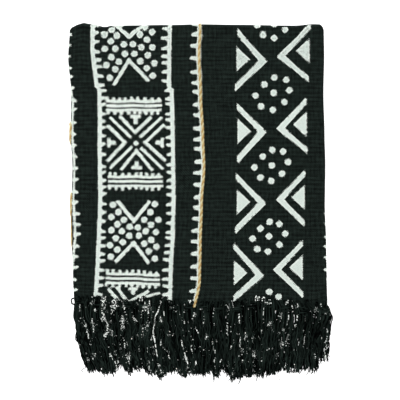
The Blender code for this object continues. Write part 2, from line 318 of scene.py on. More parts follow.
# The teeth of the painted combs, counted from the fringe up. Columns: tooth, up, length.
SEAM_TEETH = (
    (-90, -1134.0, 5.6), (0, -100.5, 5.4), (1, -89.0, 5.6), (2, -77.5, 6.3), (4, -52.0, 6.1),
    (6, -28.5, 6.0), (8, -6.0, 5.2), (9, 5.0, 4.7), (10, 16.5, 6.0), (11, 29.0, 7.0), (12, 40.5, 6.2),
    (13, 52.5, 5.9), (15, 73.5, 6.1), (16, 86.5, 5.4), (17, 98.0, 4.5), (18, 110.0, 5.0), (19, 119.0, 5.6),
    (20, 130.5, 6.0), (22, 156.5, 5.6), (23, 168.0, 5.4), (24, 177.5, 5.2), (120, 1291.0, 5.0),
)
EDGE_TEETH = (
    (-90, -1078.0, 3.0), (0, -88.5, 3.8), (1, -77.4, 3.4), (2, -66.3, 4.4), (3, -55.2, 2.9),
    (4, -44.0, 2.8), (6, -22.5, 4.2), (8, -1.0, 3.0), (10, 22.0, 2.8), (11, 33.5, 1.8), (12, 46.0, 1.8),
    (13, 56.0, 1.6), (16, 92.0, 2.1), (17, 102.0, 2.1), (18, 114.0, 2.2), (19, 125.0, 2.6),
    (21, 145.0, 2.8), (23, 168.0, 2.8), (120, 1245.0, 2.8),
)
LEFT_RAIL_TEETH = (
    (-120, -1070.0, 5.4), (0, -92.5, 5.4), (4, -60.0, 5.8), (6, -44.0, 5.6), (7, -37.0, 5.4),
    (8, -29.0, 5.2), (11, -1.5, 5.0), (12, 7.5, 5.0), (13, 15.0, 5.0), (16, 36.0, 4.8), (17, 47.5, 4.8),
    (19, 67.0, 4.6), (21, 80.6, 4.4), (23, 97.0, 5.0), (25, 111.8, 5.5), (26, 116.5, 6.6), (27, 126.7, 6.8),
    (28, 135.5, 6.8), (29, 142.0, 6.6), (32, 169.0, 4.8), (160, 1220.0, 5.4),
)
RIGHT_RAIL_TEETH = (
    (-120, -1070.0, 5.7), (0, -92.5, 6.3), (2, -77.5, 6.9), (4, -58.5, 7.3), (5, -50.5, 6.3),
    (8, -30.0, 5.7), (9, -21.5, 5.5), (11, -2.0, 6.1), (13, 15.0, 5.7), (15, 29.0, 5.5), (16, 37.5, 5.5),
    (17, 47.5, 4.9), (20, 74.0, 5.8), (21, 82.0, 5.6), (22, 88.5, 5.7), (23, 97.4, 5.3), (24, 103.6, 5.3),
    (26, 120.5, 6.2), (27, 131.0, 6.3), (28, 139.3, 6.3), (29, 145.5, 6.7), (31, 163.5, 7.3),
    (32, 173.0, 6.0), (160, 1220.0, 5.7),
)
FAR_TEETH = ((-90, -950.0, 3.0), (0, 43.0, 3.0), (120, 1380.0, 3.0))

# The two rails of the ladder band. Columns: y, left rail, right rail.
RAILS = (
    (-92.0, -104.5, -30.4),
    (-60.0, -102.5, -29.2),
    (-38.0, -101.5, -27.8),
    (2.0, -100.0, -26.8),
    (52.0, -100.6, -27.4),
    (82.0, -100.4, -27.8),
    (113.0, -101.0, -28.8),
    (114.6, -103.2, -31.2),
    (122.0, -104.4, -31.3),
    (152.0, -108.0, -31.0),
    (176.0, -107.6, -30.6),
)

# The dots above and below the crossing lines, in the two places where the throw's face shows them.
# Columns: across, up.
UPPER_DOTS = (
    (-88.5, 172.0), (-96.0, 167.5), (-83.5, 166.5), (-89.5, 161.0), (-95.5, 153.5), (-85.0, 153.5),
    (-89.0, 145.0), (-81.5, 140.5), (-94.0, 137.0), (-85.0, 133.0), (-90.5, 124.5), (-76.5, 158.0),
    (-67.5, 158.0), (-75.5, 148.5), (-66.0, 148.5), (-60.5, 167.5), (-53.5, 162.5), (-59.0, 155.0),
    (-48.0, 155.0), (-52.5, 147.0), (-60.0, 141.0), (-46.0, 139.0), (-53.5, 134.0), (-47.5, 126.5),
    (-48.0, 170.0), (-55.0, 174.5), (-80.0, 177.5), (-64.0, 182.0), (-72.5, 183.0),
)
LOWER_DOTS = (
    (-87.5, -3.0), (-82.0, -10.5), (-76.5, -18.0), (-89.0, -15.5), (-83.0, -22.5), (-70.5, -25.0),
    (-89.0, -28.5), (-78.5, -29.5), (-71.0, -34.0), (-84.5, -36.5), (-77.5, -40.5), (-90.5, -43.5),
    (-83.0, -48.0), (-89.5, -55.0), (-45.5, -2.5), (-50.0, -10.5), (-56.0, -18.0), (-42.0, -18.0),
    (-49.5, -23.0), (-62.5, -26.0), (-54.5, -29.5), (-44.5, -30.5), (-61.5, -34.0), (-49.0, -38.0),
    (-56.0, -42.0), (-44.0, -45.0), (-51.5, -49.5), (-45.5, -57.0),
)

# The crossing lines above and below the dots. Columns: point across, up; one end across, up; other end
# across, up.
UPPER_VEES = (
    (-71.5, 165.3, -93.0, 184.0, -48.0, 184.0),
    (-71.4, 142.0, -86.6, 117.0, -51.6, 121.0),
)
LOWER_VEES = (
    (-66.4, -19.3, -83.2, 1.2, -50.6, 0.6),
    (-66.8, -41.0, -85.0, -60.6, -51.2, -62.0),
)

# The star of crossing lines round a dot, from the star's middle. Columns: as the lines above.
STAR_VEES = (
    (-1.0, 10.8, -16.5, 27.5, 15.7, 26.8),
    (-11.0, 0.8, -28.8, 18.2, -29.2, -18.6),
    (9.2, 0.8, 28.5, 18.9, 29.8, -18.0),
    (0.4, -7.5, -15.3, -27.0, 16.8, -27.8),
)

# The star's straight lines. Columns: from across, up; to across, up; half width.
STAR_LINES = (
    (-26.3, 26.3, -4.6, 5.3, 1.6),
    (26.2, 26.3, 3.7, 5.8, 1.6),
    (-3.8, -3.4, -26.3, -25.0, 1.6),
    (4.5, -4.2, 27.0, -25.9, 1.6),
    (-6.0, 26.9, 4.9, 26.9, 1.6),
    (-0.5, 26.9, -0.5, 19.1, 2.1),
    (-4.8, -24.4, 6.0, -24.4, 1.8),
    (0.6, -24.4, 0.6, -18.0, 2.1),
    (-27.1, 5.5, -27.1, -4.5, 1.7),
    (-27.1, 0.6, -20.0, 0.6, 2.2),
    (26.2, 5.5, 26.2, -4.5, 1.7),
    (26.2, 0.6, 19.3, 0.6, 2.1),
)
STARS = ((-64.3, 58.7), (-66.0, 231.0))

# What the gathered hem shows of the last star. Columns: as the lines above.
HEM_VEE = (-72.5, -101.3, -83.6, -85.2, -51.4, -89.3)
HEM_LINES = (
    (-92.5, -86.8, -81.5, -99.7, 1.7),
    (-40.4, -91.3, -56.5, -95.8, 1.4),
    (-72.0, -87.3, -62.6, -87.3, 1.6),
    (-67.2, -87.3, -67.2, -93.0, 2.0),
)

# The sets of three bars. The last one is never seen, so its teeth are even. Columns: left, right, up, tilt,
# gap, where the upper teeth stand, where the lower ones do.
EVEN_TEETH = (-92.0, -85.5, -79.0, -72.5, -66.0, -59.5, -53.5, -47.5, -41.5)
BARS = (
    (-94.5, -38.6, 96.2, 0.0, 1.45,
     (-92.9, -86.7, -80.7, -75.3, -68.6, -62.5, -55.2, -48.2, -41.5),
     (-92.0, -85.5, -79.0, -71.6, -65.6, -60.3, -54.4, -48.4, -42.5)),
    (-92.6, -37.4, 20.6, -0.4, 1.85,
     (-90.3, -85.1, -77.7, -71.2, -64.2, -59.6, -53.6, -47.6, -41.9),
     (-90.9, -84.4, -77.7, -70.8, -64.6, -58.9, -53.5, -48.0, -41.6)),
    (-94.4, -40.2, -76.6, -2.0, 1.75,
     (-92.9, -86.9, -80.2, -73.5, -67.4, -61.4, -55.8, -49.8, -43.8),
     (-94.0, -87.7, -80.9, -74.1, -68.4, -62.7, -57.1, -51.0, -44.8)),
    (-94.0, -39.5, -149.0, 0.0, 1.50, EVEN_TEETH, EVEN_TEETH),
)
BAR_DEPTH = 11.8
BAND_REPEAT = 172.0

# The dots between the even strips' chevrons. Columns: across, up.
CLUSTER_DOTS = (
    (75.3, 194.8), (86.0, 192.8), (65.8, 188.0), (90.4, 182.7), (74.4, 178.2), (57.2, 176.3), (85.0, 171.9),
    (63.2, 167.0), (74.1, 163.9), (74.4, 124.3), (86.3, 121.9), (64.3, 117.2), (89.3, 111.7), (73.7, 109.0),
    (55.5, 106.3), (84.4, 99.6), (61.0, 95.4), (72.9, 91.9), (72.2, 51.7), (83.0, 50.1), (62.8, 45.0),
    (88.0, 39.4), (71.9, 36.2), (54.4, 34.2), (82.0, 27.8), (60.4, 24.0), (71.2, 20.6), (69.6, -20.4),
    (79.5, -22.6), (60.4, -27.2), (85.2, -32.3), (69.0, -35.0), (52.7, -37.2), (79.4, -43.3), (57.3, -47.6),
    (68.0, -50.1),
)
LAST_DOTS = ((69.3, -90.6), (78.4, -95.5), (58.0, -98.5))

# The chevrons of the even strips. Columns: point across, up; upper arm's run, rise; lower arm's run, rise;
# wedge's tip across, up from the point.
CHEVRONS = (
    (62.6, 140.7, -24.8, 28.9, -27.0, -26.6, -13.0, 1.9),
    (81.2, 145.4, 28.9, 30.2, 27.0, -22.5, 15.2, 5.8),
    (62.1, 69.7, -24.7, 25.4, -24.4, -28.1, -11.4, 0.8),
    (80.7, 73.2, 25.4, 27.7, 26.0, -21.9, 12.8, 4.1),
    (61.8, -1.8, -25.5, 26.9, -26.2, -26.8, -11.9, 1.2),
    (80.1, 1.9, 24.6, 26.5, 24.2, -24.1, 11.5, 2.3),
    (59.6, -74.0, -25.7, 29.2, -25.7, -23.3, -12.5, 2.6),
    (77.3, -68.4, 24.9, 26.4, 25.2, -25.2, 12.1, 2.1),
)
ARM_LONGER = 1.06
WEDGE_DEPTH = 12.9
WEDGE_HALF = 12.0
DIAMOND_REPEAT = 285.2

# Half the width of painted dots and lines, in threads, and a depth that is well outside the paint.
DOT_HALF = 3.3
STAR_DOT_HALF = 2.5
VEE_HALF = 1.8
STAR_VEE_HALF = 1.65
RAIL_HALF = 2.0
CHEVRON_HALF = 2.4
TOOTH_HALF = 1.6
OUTSIDE = -9.0

# The spacing of a strip's rows and columns where it shows and where it doesn't.
SHOWN_STRIPS = (3, 4)
ROW_STEPS = (0.0011, 0.012)
COLUMN_STEPS = (0.0018, 0.010)
BEND_STEPS = (0.0006, 0.0010)


def eased(rows, place, column):
    """The values of one column of a table at many places, joined smoothly from row to row."""
    table = np.array(rows, dtype=float)
    at = table[:, 0]
    low = np.clip(np.searchsorted(at, place) - 1, 0, len(at) - 2)
    share = np.clip((place - at[low]) / (at[low + 1] - at[low]), 0, 1)
    share = share * share * (3 - 2 * share)
    return table[low, column] + (table[low + 1, column] - table[low, column]) * share


def straight(rows, place, column):
    """The values of one column of a table at many places, joined by straight lines."""
    table = np.array(rows, dtype=float)
    return np.interp(place, table[:, 0], table[:, column])


def across_pieces():
    """The straight runs and bends of the fold across the width, in order from strip 1's free edge."""
    flap = 2 * STRIP_WIDTH - SEAM_LEAD - math.pi * LEFT_BEND / 2
    face = 2 * STRIP_WIDTH + SEAM_LEAD - math.pi * (LEFT_BEND + RIGHT_BEND) / 2
    left = CLOTH_SHIFT - (face + RIGHT_BEND - LEFT_BEND) / 2
    right = left + face
    low, high = 0.5 * LAYER_PITCH, 1.5 * LAYER_PITCH
    return (
        {"length": flap, "start": (left + flap, low), "heading": -1},
        {"length": math.pi * LEFT_BEND, "centre": (left, 2 * low), "radius": LEFT_BEND, "from": -90},
        {"length": face, "start": (left, high), "heading": 1},
        {"length": math.pi * RIGHT_BEND, "centre": (right, 0), "radius": RIGHT_BEND, "from": 90},
        {"length": face, "start": (right, -high), "heading": -1},
        {"length": math.pi * LEFT_BEND, "centre": (left, -2 * low), "radius": LEFT_BEND, "from": -90},
        {"length": flap, "start": (left, -low), "heading": 1},
    )


ACROSS = across_pieces()
FACE_START = ACROSS[0]["length"] + ACROSS[1]["length"]
FACE_END = FACE_START + ACROSS[2]["length"]


def fold_across(u, offset):
    """Where places across the strips lie in the folded width, as x and the height in the pack."""
    x, height = np.zeros_like(u), np.zeros_like(u)
    begun = 0.0
    for number, piece in enumerate(ACROSS):
        ended = begun + piece["length"] if number < len(ACROSS) - 1 else math.inf
        here = (u >= (begun if number else -math.inf)) & (u < ended)
        run, off = u[here] - begun, offset[here]
        if "heading" in piece:
            x[here] = piece["start"][0] + piece["heading"] * run
            height[here] = piece["start"][1] + piece["heading"] * off
        else:
            turn = math.radians(piece["from"]) - run / piece["radius"]
            x[here] = piece["centre"][0] + (piece["radius"] + off) * np.cos(turn)
            height[here] = piece["centre"][1] + (piece["radius"] + off) * np.sin(turn)
        begun = ended
    return x, height


def along_pieces():
    """The straight runs of the fold along the length: where each begins and ends, and its level."""
    top = TOP_EDGE - LENGTH_BEND - PACK_THICK / 2
    bottom = BOTTOM_FOLD + LENGTH_BEND + PACK_THICK / 2
    ends = ((HEM_TOP, top), (top, bottom), (bottom, top - TOP_FOLD_BACK), (top - TOP_FOLD_BACK, HEM_LOW))
    levels = [PACK_THICK / 2 + k * PACK_PITCH for k in (3, 2, 1, 0)]
    return [(begin, end, level) for (begin, end), level in zip(ends, levels)]


ALONG = along_pieces()
RUN_LENGTH = [abs(end - begin) for begin, end, _ in ALONG]
BEND_LENGTH = math.pi * LENGTH_BEND
CLOTH_LENGTH = sum(RUN_LENGTH) + 3 * BEND_LENGTH


def fold_along(v):
    """Where places along the cloth lie when folded: y, z, the pack's upward normal, hem step and turn."""
    y, z, normal_y, normal_z, step, turned = (np.zeros_like(v) for _ in range(6))
    begun, bends = 0.0, 0.0
    for number, (begin, end, level) in enumerate(ALONG):
        up = 1 if number % 2 == 0 else -1
        last = number == len(ALONG) - 1
        first_v, last_v = begun if number else -math.inf, math.inf if last else begun + RUN_LENGTH[number]
        here = (v >= first_v) & (v <= last_v)
        share = (v[here] - begun) / RUN_LENGTH[number]
        y[here], z[here], normal_z[here] = begin + (end - begin) * share, level, up
        if number == 0 or last:
            step[here] = np.clip(share if last else 1 - share, 0, None)
        turned[here] = bends
        begun += RUN_LENGTH[number]
        if last:
            break
        here = (v > begun) & (v < begun + BEND_LENGTH)
        turn = (v[here] - begun) / LENGTH_BEND
        y[here] = end + up * LENGTH_BEND * np.sin(turn)
        z[here] = level - LENGTH_BEND * (1 - np.cos(turn))
        normal_y[here], normal_z[here] = np.sin(turn), up * np.cos(turn)
        turned[here] = bends + up * turn
        bends += up * math.pi
        begun += BEND_LENGTH
    return y, z, normal_y, normal_z, step, turned


def swollen(x, y, z):
    """A height in the pile, with the pile's soft rise and fall."""
    wave = np.sin(2 * math.pi * x / SWELL_ACROSS + 0.6) * np.cos(2 * math.pi * y / SWELL_ALONG)
    return z * (1 + SWELL * wave)


def settle_plan(x, y):
    """Moves places of the neatly folded throw, seen from above, to where the uneven one has them."""
    left, seam, right = (eased(SIDE_ROWS, y, column) for column in (1, 2, 3))
    half = (ACROSS[3]["centre"][0] - ACROSS[1]["centre"][0]) / 2
    share = np.clip((x - CLOTH_SHIFT) / half, -1, 1)
    x = x + seam + np.where(share < 0, (left - seam) * -share, (right - seam) * share)
    near_top = np.clip((y - TOP_EDGE + TOP_REACH) / TOP_REACH, 0, 1)
    return x, y - eased(TOP_ROWS, x, 1) * near_top * near_top


def relief(x, y):
    """The low waves of the top cloth, in metres above the layer below it, and its crease at the right."""
    broad = np.sin(41 * x + 1.3) * np.sin(29 * y + 0.4) + 0.7 * np.sin(67 * x - 38 * y)
    fine = np.sin(173 * x + 61 * y) * np.sin(97 * y - 1.1)
    crease = eased(CREASE_ROWS, y, 2) * np.exp(-((x - eased(CREASE_ROWS, y, 1)) / CREASE_WIDTH) ** 2)
    return WAVE_HEIGHT * (1.5 + 0.6 * broad + 0.4 * fine) - crease


def crept(u, y):
    """Places across the strips, moved round the side folds by as much as the cloth has crept there."""
    for seam, rows in ((2, LEFT_CREEP), (4, RIGHT_CREEP)):
        share = np.clip(1 - np.abs(u - seam * STRIP_WIDTH) / CREEP_REACH, 0, 1)
        u = u + eased(rows, y, 1) * share * share * (3 - 2 * share)
    return u


def middle_offset():
    """How far this frame's middle is from the solids' one, as read from one strip's box."""
    start = 2 * STRIP_WIDTH + SEAM_GAP / 2
    end = 3 * STRIP_WIDTH - SEAM_GAP / 2
    columns = [start, end] + [FACE_START + column for column in SOLID_COLUMNS]
    columns += [FACE_START + 2 * STRIP_WIDTH - SEAM_LEAD - math.pi * LEFT_BEND / 2 - STRIP_WIDTH]
    rows, begun = [], 0.0
    for length in RUN_LENGTH:
        rows += [begun + length * k / SOLID_ROWS for k in range(SOLID_ROWS + 1)]
        begun += length
        rows += [begun + BEND_LENGTH * k / SOLID_BEND_ROWS for k in range(1, SOLID_BEND_ROWS)]
        begun += BEND_LENGTH
    rows = [row for row in rows if row <= CLOTH_LENGTH + 1e-9]
    u, v = (grid.ravel() for grid in np.meshgrid(columns, rows))
    half = CLOTH_THICK / 2
    faces = [place(u, v, np.full_like(u, side * half), (0.0, 0.0), smooth=False) for side in (1, -1)]
    points = np.concatenate(faces)
    low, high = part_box("strip_3")
    return points[:, 0].min() - low[0], points[:, 1].max() - high[1]


def place(u, v, offset, middle=None, smooth=True, creeps=True):
    """Points of the folded cloth: u across the strips, v along them, offset out from the sheet's middle."""
    if middle is None:
        middle = MIDDLE
    y, z, normal_y, normal_z, step, _ = fold_along(v)
    if smooth and creeps:
        u = crept(u, y)
    x, height = fold_across(u, offset)
    y = y + step * HEM_STEP * height + normal_y * height
    z = z + normal_z * height
    flat_x, flat_y = x, y
    x, y = settle_plan(x, y)
    z = swollen(x, y, z)
    if smooth:
        z = z + relief(x, y) * top_share(u, v)
        y = y + eased(HEM_ROWS, x, 1) * hem_share(v) * np.clip(height / LAYER_PITCH, 0, 1)
        left = fold_share(ACROSS[1]["centre"][0] - flat_x)
        right = fold_share(flat_x - ACROSS[3]["centre"][0])
        x = x + (right - left) * (FOLD_PUFF + FOLD_RIPPLE * np.sin(2 * math.pi * y / RIPPLE_PITCH))
        y = y + FOLD_PUFF * fold_share(flat_y - TOP_EDGE + LENGTH_BEND + PACK_THICK / 2)
    return np.stack([x - middle[0], y - middle[1], z], axis=-1)


def fold_share(past):
    """1 beyond the start of a fold, fading to 0 a little way before it."""
    share = np.clip(1 + past / PUFF_REACH, 0, 1)
    return share * share * (3 - 2 * share)


def top_share(u, v):
    """1 where the cloth is the throw's top face, fading to 0 at its folds."""
    from_fold = np.minimum(u - FACE_START, FACE_END - u) / SIDE_FADE
    from_top = (RUN_LENGTH[0] - v) / FAR_FADE
    share = np.clip(np.minimum(from_fold, from_top), 0, 1)
    return share * share * (3 - 2 * share)


def hem_share(v):
    """1 at the top hem, fading to 0 a little way into the cloth."""
    return np.clip(1 - v / HEM_REACH, 0, 1) ** 2


MIDDLE = middle_offset()


def chart_place(u, v, strip):
    """Where cloth lies on the painted chart, in threads. Odd strips bear one band, even ones the other."""
    y, _, _, _, _, turned = fold_along(v)
    u = crept(u, y)
    base = 2 if strip % 2 else 3
    flat_u = u + (base - (strip - 1)) * STRIP_WIDTH
    x = ACROSS[2]["start"][0] + (flat_u - FACE_START)
    _, height = fold_across(u, np.zeros_like(u))
    hem_step = np.where(v < RUN_LENGTH[0], (1 - v / RUN_LENGTH[0]) * HEM_STEP * height, 0)
    flat_y = HEM_TOP + v + turned * height + hem_step
    top = ALONG[0][1]
    settled_x, settled_y = settle_plan(x, np.minimum(flat_y, top))
    settled_y = settled_y + eased(HEM_ROWS, settled_x, 1) * hem_share(v)
    aside, down = CHART_SHIFT if strip % 2 else (0.0, 0.0)
    return settled_x / THREAD - aside, (settled_y + np.maximum(flat_y - top, 0)) / THREAD + down


def line(x, y, ends, half):
    """How deep places are inside a painted line with nearly square ends, in threads."""
    x0, y0, x1, y1 = ends
    length = math.hypot(x1 - x0, y1 - y0)
    along = ((x - x0) * (x1 - x0) + (y - y0) * (y1 - y0)) / length
    beside = ((x - x0) * (y1 - y0) - (y - y0) * (x1 - x0)) / length
    past = np.abs(along - length / 2) - length / 2 + CORNER
    out = np.abs(beside) - half + CORNER
    return CORNER - np.hypot(np.maximum(past, 0), np.maximum(out, 0)) - np.minimum(np.maximum(past, out), 0)


def vee(x, y, corners, half):
    """How deep places are inside two painted lines that meet in a sharp point, in threads."""
    x0, y0, first_x, first_y, second_x, second_y = corners
    first_long = math.hypot(first_x - x0, first_y - y0)
    second_long = math.hypot(second_x - x0, second_y - y0)
    first_way = ((first_x - x0) / first_long, (first_y - y0) / first_long)
    second_way = ((second_x - x0) / second_long, (second_y - y0) / second_long)
    turn = 1 if first_way[0] * second_way[1] - first_way[1] * second_way[0] > 0 else -1
    first = turn * (first_way[0] * (y - y0) - first_way[1] * (x - x0))
    second = -turn * (second_way[0] * (y - y0) - second_way[1] * (x - x0))
    first_left = first_long - first_way[0] * (x - x0) - first_way[1] * (y - y0)
    second_left = second_long - second_way[0] * (x - x0) - second_way[1] * (y - y0)
    left = np.where(first < second, first_left, second_left)
    return np.minimum(half - np.abs(np.minimum(first, second)), left)


def dot(x, y, middle, half):
    """How deep places are inside a painted dot, in threads."""
    return half - np.hypot(x - middle[0], y - middle[1])


def chevron(x, y, corners, half):
    """How deep places are inside a chevron with a thick point and nearly upright ends, in threads."""
    side = 1 if corners[2] > 0 else -1
    thick = half + 0.8 * np.exp(-(((side * x) / 8) ** 2)) + np.where((side < 0) & (y < 0), 0.3, 0.0)
    upright = np.where(y > 0, side * corners[2], side * corners[4]) + 0.6 - side * x
    longer = (0.0, 0.0) + tuple(run * ARM_LONGER for run in corners[2:])
    return np.minimum(vee(x, y, longer, thick), upright)


def wedge(x, y, corners, rounding):
    """How deep places are inside a painted triangle with soft corners, in threads."""
    points = list(zip(corners[0::2], corners[1::2]))
    middle = (sum(corners[0::2]) / 3, sum(corners[1::2]) / 3)
    depth = np.full_like(x, np.inf)
    for (x0, y0), (x1, y1) in zip(points, points[1:] + points[:1]):
        length = math.hypot(x1 - x0, y1 - y0)
        side = (x1 - x0) * (middle[1] - y0) - (y1 - y0) * (middle[0] - x0)
        inside = ((x1 - x0) * (y - y0) - (y1 - y0) * (x - x0)) / length * (1 if side > 0 else -1)
        depth = np.minimum(depth, inside)
    return depth + rounding


def fused(a, b, reach=1.0):
    """Two painted shapes that run into each other, with the corner between them filled."""
    share = np.clip(0.5 + (a - b) / (2 * reach), 0, 1)
    return b + (a - b) * share + reach * share * (1 - share)


def comb(across, y, teeth, half):
    """A comb's teeth: across is how far from the rail, teeth where they stand and how long they are."""
    table = np.array(teeth)
    number = np.round(np.interp(y, table[:, 1], table[:, 0]))
    long = np.interp(number, table[:, 0], table[:, 2])
    part = np.clip(across / long, 0, 1.2)
    slant = 0.9 * np.sin(2.3 * number + teeth[1][1]) * part
    away = y - np.interp(number, table[:, 0], table[:, 1]) + slant
    reach = across - np.clip(across, 0, long)
    return half * (1.16 - 0.28 * part) - np.hypot(away, reach)


def bars(x, y, row):
    """Three painted bars, close together, with square teeth on the outer two."""
    left, right, middle, tilt, gap, upper, lower = row
    share = (x - left) / (right - left)
    y = y - middle - tilt * share * share + 0.25 * np.sin(0.21 * x)
    half = (BAR_DEPTH - 2 * gap) / 6
    level = BAR_DEPTH / 2 - half
    depth = np.full_like(x, OUTSIDE)
    for number in (-1, 0, 1):
        depth = np.maximum(depth, line(x, y, (left, number * level, right, number * level), half))
    for side, teeth in ((1, upper), (-1, lower)):
        for number, across in enumerate(teeth):
            long = 8.8 + 0.4 * math.sin(1.3 * number + side)
            depth = np.maximum(depth, line(x, y, (across, side * level, across, side * long), TOOTH_HALF))
    return depth


def ladder_band(s, x, y):
    """The paint of odd strips: combs on both edges, and dots, stars and bars between two toothed rails."""
    count = STRIP_WIDTH / THREAD
    on_face = np.clip(y, -100, 176)
    right_comb = fused(1.05 - np.abs(count - 1.4 - s), comb(count - 1.4 - s, y, SEAM_TEETH, 2.05))
    left_comb = fused(0.95 - np.abs(s - 3.5), comb(s - 3.5, y, EDGE_TEETH, 1.7))
    depth = np.maximum(right_comb, left_comb)
    left, right = straight(RAILS, on_face, 1), straight(RAILS, on_face, 2)
    for inward, teeth in ((x - left, LEFT_RAIL_TEETH), (right - x, RIGHT_RAIL_TEETH)):
        depth = np.maximum(depth, fused(RAIL_HALF - np.abs(inward), comb(inward, y, teeth, 1.8), 0.8))
    depth = np.maximum(depth, near(x, y, vee, (0, 0), HEM_VEE, STAR_VEE_HALF))
    for row in HEM_LINES:
        depth = np.maximum(depth, near(x, y, line, (0, 0), row[:4], row[4]))
    for repeat in range(4):
        shift = repeat * BAND_REPEAT * 2
        for band, dots in ((UPPER_VEES, UPPER_DOTS), (LOWER_VEES, LOWER_DOTS)):
            for corners in band:
                depth = np.maximum(depth, near(x, y, vee, (0, shift), corners, VEE_HALF))
            for across, up in dots:
                depth = np.maximum(depth, near(x, y, dot, (across, up + shift), (0, 0), DOT_HALF))
        for star_x, star_y in STARS:
            star = (star_x, star_y + shift)
            depth = np.maximum(depth, near(x, y, dot, star, (0, 0), STAR_DOT_HALF))
            for corners in STAR_VEES:
                depth = np.maximum(depth, near(x, y, vee, star, corners, STAR_VEE_HALF))
            for row in STAR_LINES:
                depth = np.maximum(depth, near(x, y, line, star, row[:4], row[4]))
        for row in BARS:
            depth = np.maximum(depth, bars(x, y - shift, row))
    return depth


def near(x, y, shape, origin, where, half):
    """A painted shape set out from an origin, worked out only for the places that are near it."""
    depth = np.full_like(x, OUTSIDE)
    px, py = x - origin[0], y - origin[1]
    low, high = min(where[1::2]) - 8, max(where[1::2]) + 8
    here = (py > low) & (py < high)
    if here.any():
        depth[here] = shape(px[here], py[here], where, half)
    return depth


def diamond_band(s, x, y):
    """The paint of even strips: pairs of chevrons with triangles inside, dot clusters and an edge comb."""
    count = STRIP_WIDTH / THREAD
    depth = fused(1.0 - np.abs(count - 1.9 - s), comb(count - 1.9 - s, y, FAR_TEETH, 1.8))
    stray = np.minimum(0.55 + 0.35 * np.sin(0.31 * y) - np.abs(s - 1.7), (y - 107) * 0.1)
    depth = np.maximum(depth, np.where(y < 180, stray, OUTSIDE))
    for repeat in range(4):
        shift = repeat * DIAMOND_REPEAT
        for across, up, upper_run, upper_rise, lower_run, lower_rise, tip, lift in CHEVRONS:
            origin = (across, up + shift)
            arms = (0.0, 0.0, upper_run, upper_rise, lower_run, lower_rise)
            depth = np.maximum(depth, near(x, y, chevron, origin, arms, CHEVRON_HALF))
            back = tip + math.copysign(WEDGE_DEPTH, tip)
            corners = (back, lift + WEDGE_HALF, tip, lift, back, lift - WEDGE_HALF)
            depth = np.maximum(depth, near(x, y, wedge, origin, corners, 0.3))
        for across, up in CLUSTER_DOTS:
            depth = np.maximum(depth, near(x, y, dot, (across, up + shift), (0, 0), DOT_HALF))
    for middle in LAST_DOTS:
        depth = np.maximum(depth, near(x, y, dot, middle, (0, 0), DOT_HALF))
    return depth


def paint_depth(u, v, strip):
    """How deep each place is inside the paint, in metres."""
    x, y = chart_place(u, v, strip)
    s = (u - (strip - 1) * STRIP_WIDTH) / THREAD
    depth = ladder_band(s, x, y) if strip % 2 else diamond_band(s, x, y)
    return np.clip(depth, -4, 4) * THREAD


def make_mesh(name, points, quads, uv, fields, material, caps=()):
    """A smooth mesh object from arrays: points, four-cornered faces, a UV, named values and end faces."""
    mesh = bpy.data.meshes.new(name)
    sizes = [4] * len(quads) + [len(cap) for cap in caps]
    loops = np.concatenate([np.asarray(quads).ravel()] + [np.asarray(cap) for cap in caps]).astype(np.int32)
    starts = np.concatenate([[0], np.cumsum(sizes)[:-1]]).astype(np.int32)
    mesh.vertices.add(len(points))
    mesh.vertices.foreach_set("co", np.asarray(points, dtype=np.float32).ravel())
    mesh.loops.add(len(loops))
    mesh.loops.foreach_set("vertex_index", loops)
    mesh.polygons.add(len(sizes))
    mesh.polygons.foreach_set("loop_start", starts)
    mesh.update(calc_edges=True)
    mesh.validate()
    mesh.polygons.foreach_set("use_smooth", np.ones(len(sizes), dtype=bool))
    layer = mesh.uv_layers.new(name="cloth")
    layer.data.foreach_set("uv", np.asarray(uv, dtype=np.float32)[loops].ravel())
    for field, values in fields.items():
        attribute = mesh.attributes.new(field, "FLOAT", "POINT")
        attribute.data.foreach_set("value", np.asarray(values, dtype=np.float32))
    mesh.materials.append(material)
    mesh.set_sharp_from_angle(angle=math.radians(55))
    piece = bpy.data.objects.new(name, mesh)
    bpy.context.scene.collection.objects.link(piece)
    return piece


def sheet_rows(strip):
    """The places along the cloth where a strip's mesh has rows, closest where it shows."""
    fine, coarse = ROW_STEPS
    places, begun = [], 0.0
    for number, length in enumerate(RUN_LENGTH):
        step = fine if number == 0 and strip in SHOWN_STRIPS else coarse
        places.append(begun + np.linspace(0, length, int(length / step) + 1))
        begun += length
        if number < 3:
            places.append(begun + np.linspace(0, BEND_LENGTH, 13)[1:-1])
            begun += BEND_LENGTH
    return np.concatenate(places)


def sheet_columns(strip):
    """The places across the cloth where a strip's mesh has columns, closest where it shows or bends."""
    first, last = (strip - 1) * STRIP_WIDTH + SEAM_GAP / 2, strip * STRIP_WIDTH - SEAM_GAP / 2
    kind = 0 if strip in SHOWN_STRIPS else 1
    fine, bend_step = COLUMN_STEPS[kind], BEND_STEPS[kind]
    count = int((last - first) / fine)
    places, begun = [np.linspace(first, last, count + 1)], 0.0
    for number, piece in enumerate(ACROSS):
        ended = begun + piece["length"]
        if "radius" in piece:
            rows = {1: LEFT_CREEP, 3: RIGHT_CREEP}.get(number, ((0, 0), (1, 0)))
            creeps = [row[1] for row in rows]
            low, high = max(begun - max(creeps) - 0.0006, first), min(ended - min(creeps) + 0.0006, last)
            if high > low:
                places[0] = places[0][(places[0] < low) | (places[0] > high)]
                places.append(np.linspace(low, high, int((high - low) / bend_step) + 2))
        begun = ended
    return np.unique(np.round(np.concatenate(places + [np.array([first, last])]), 7))


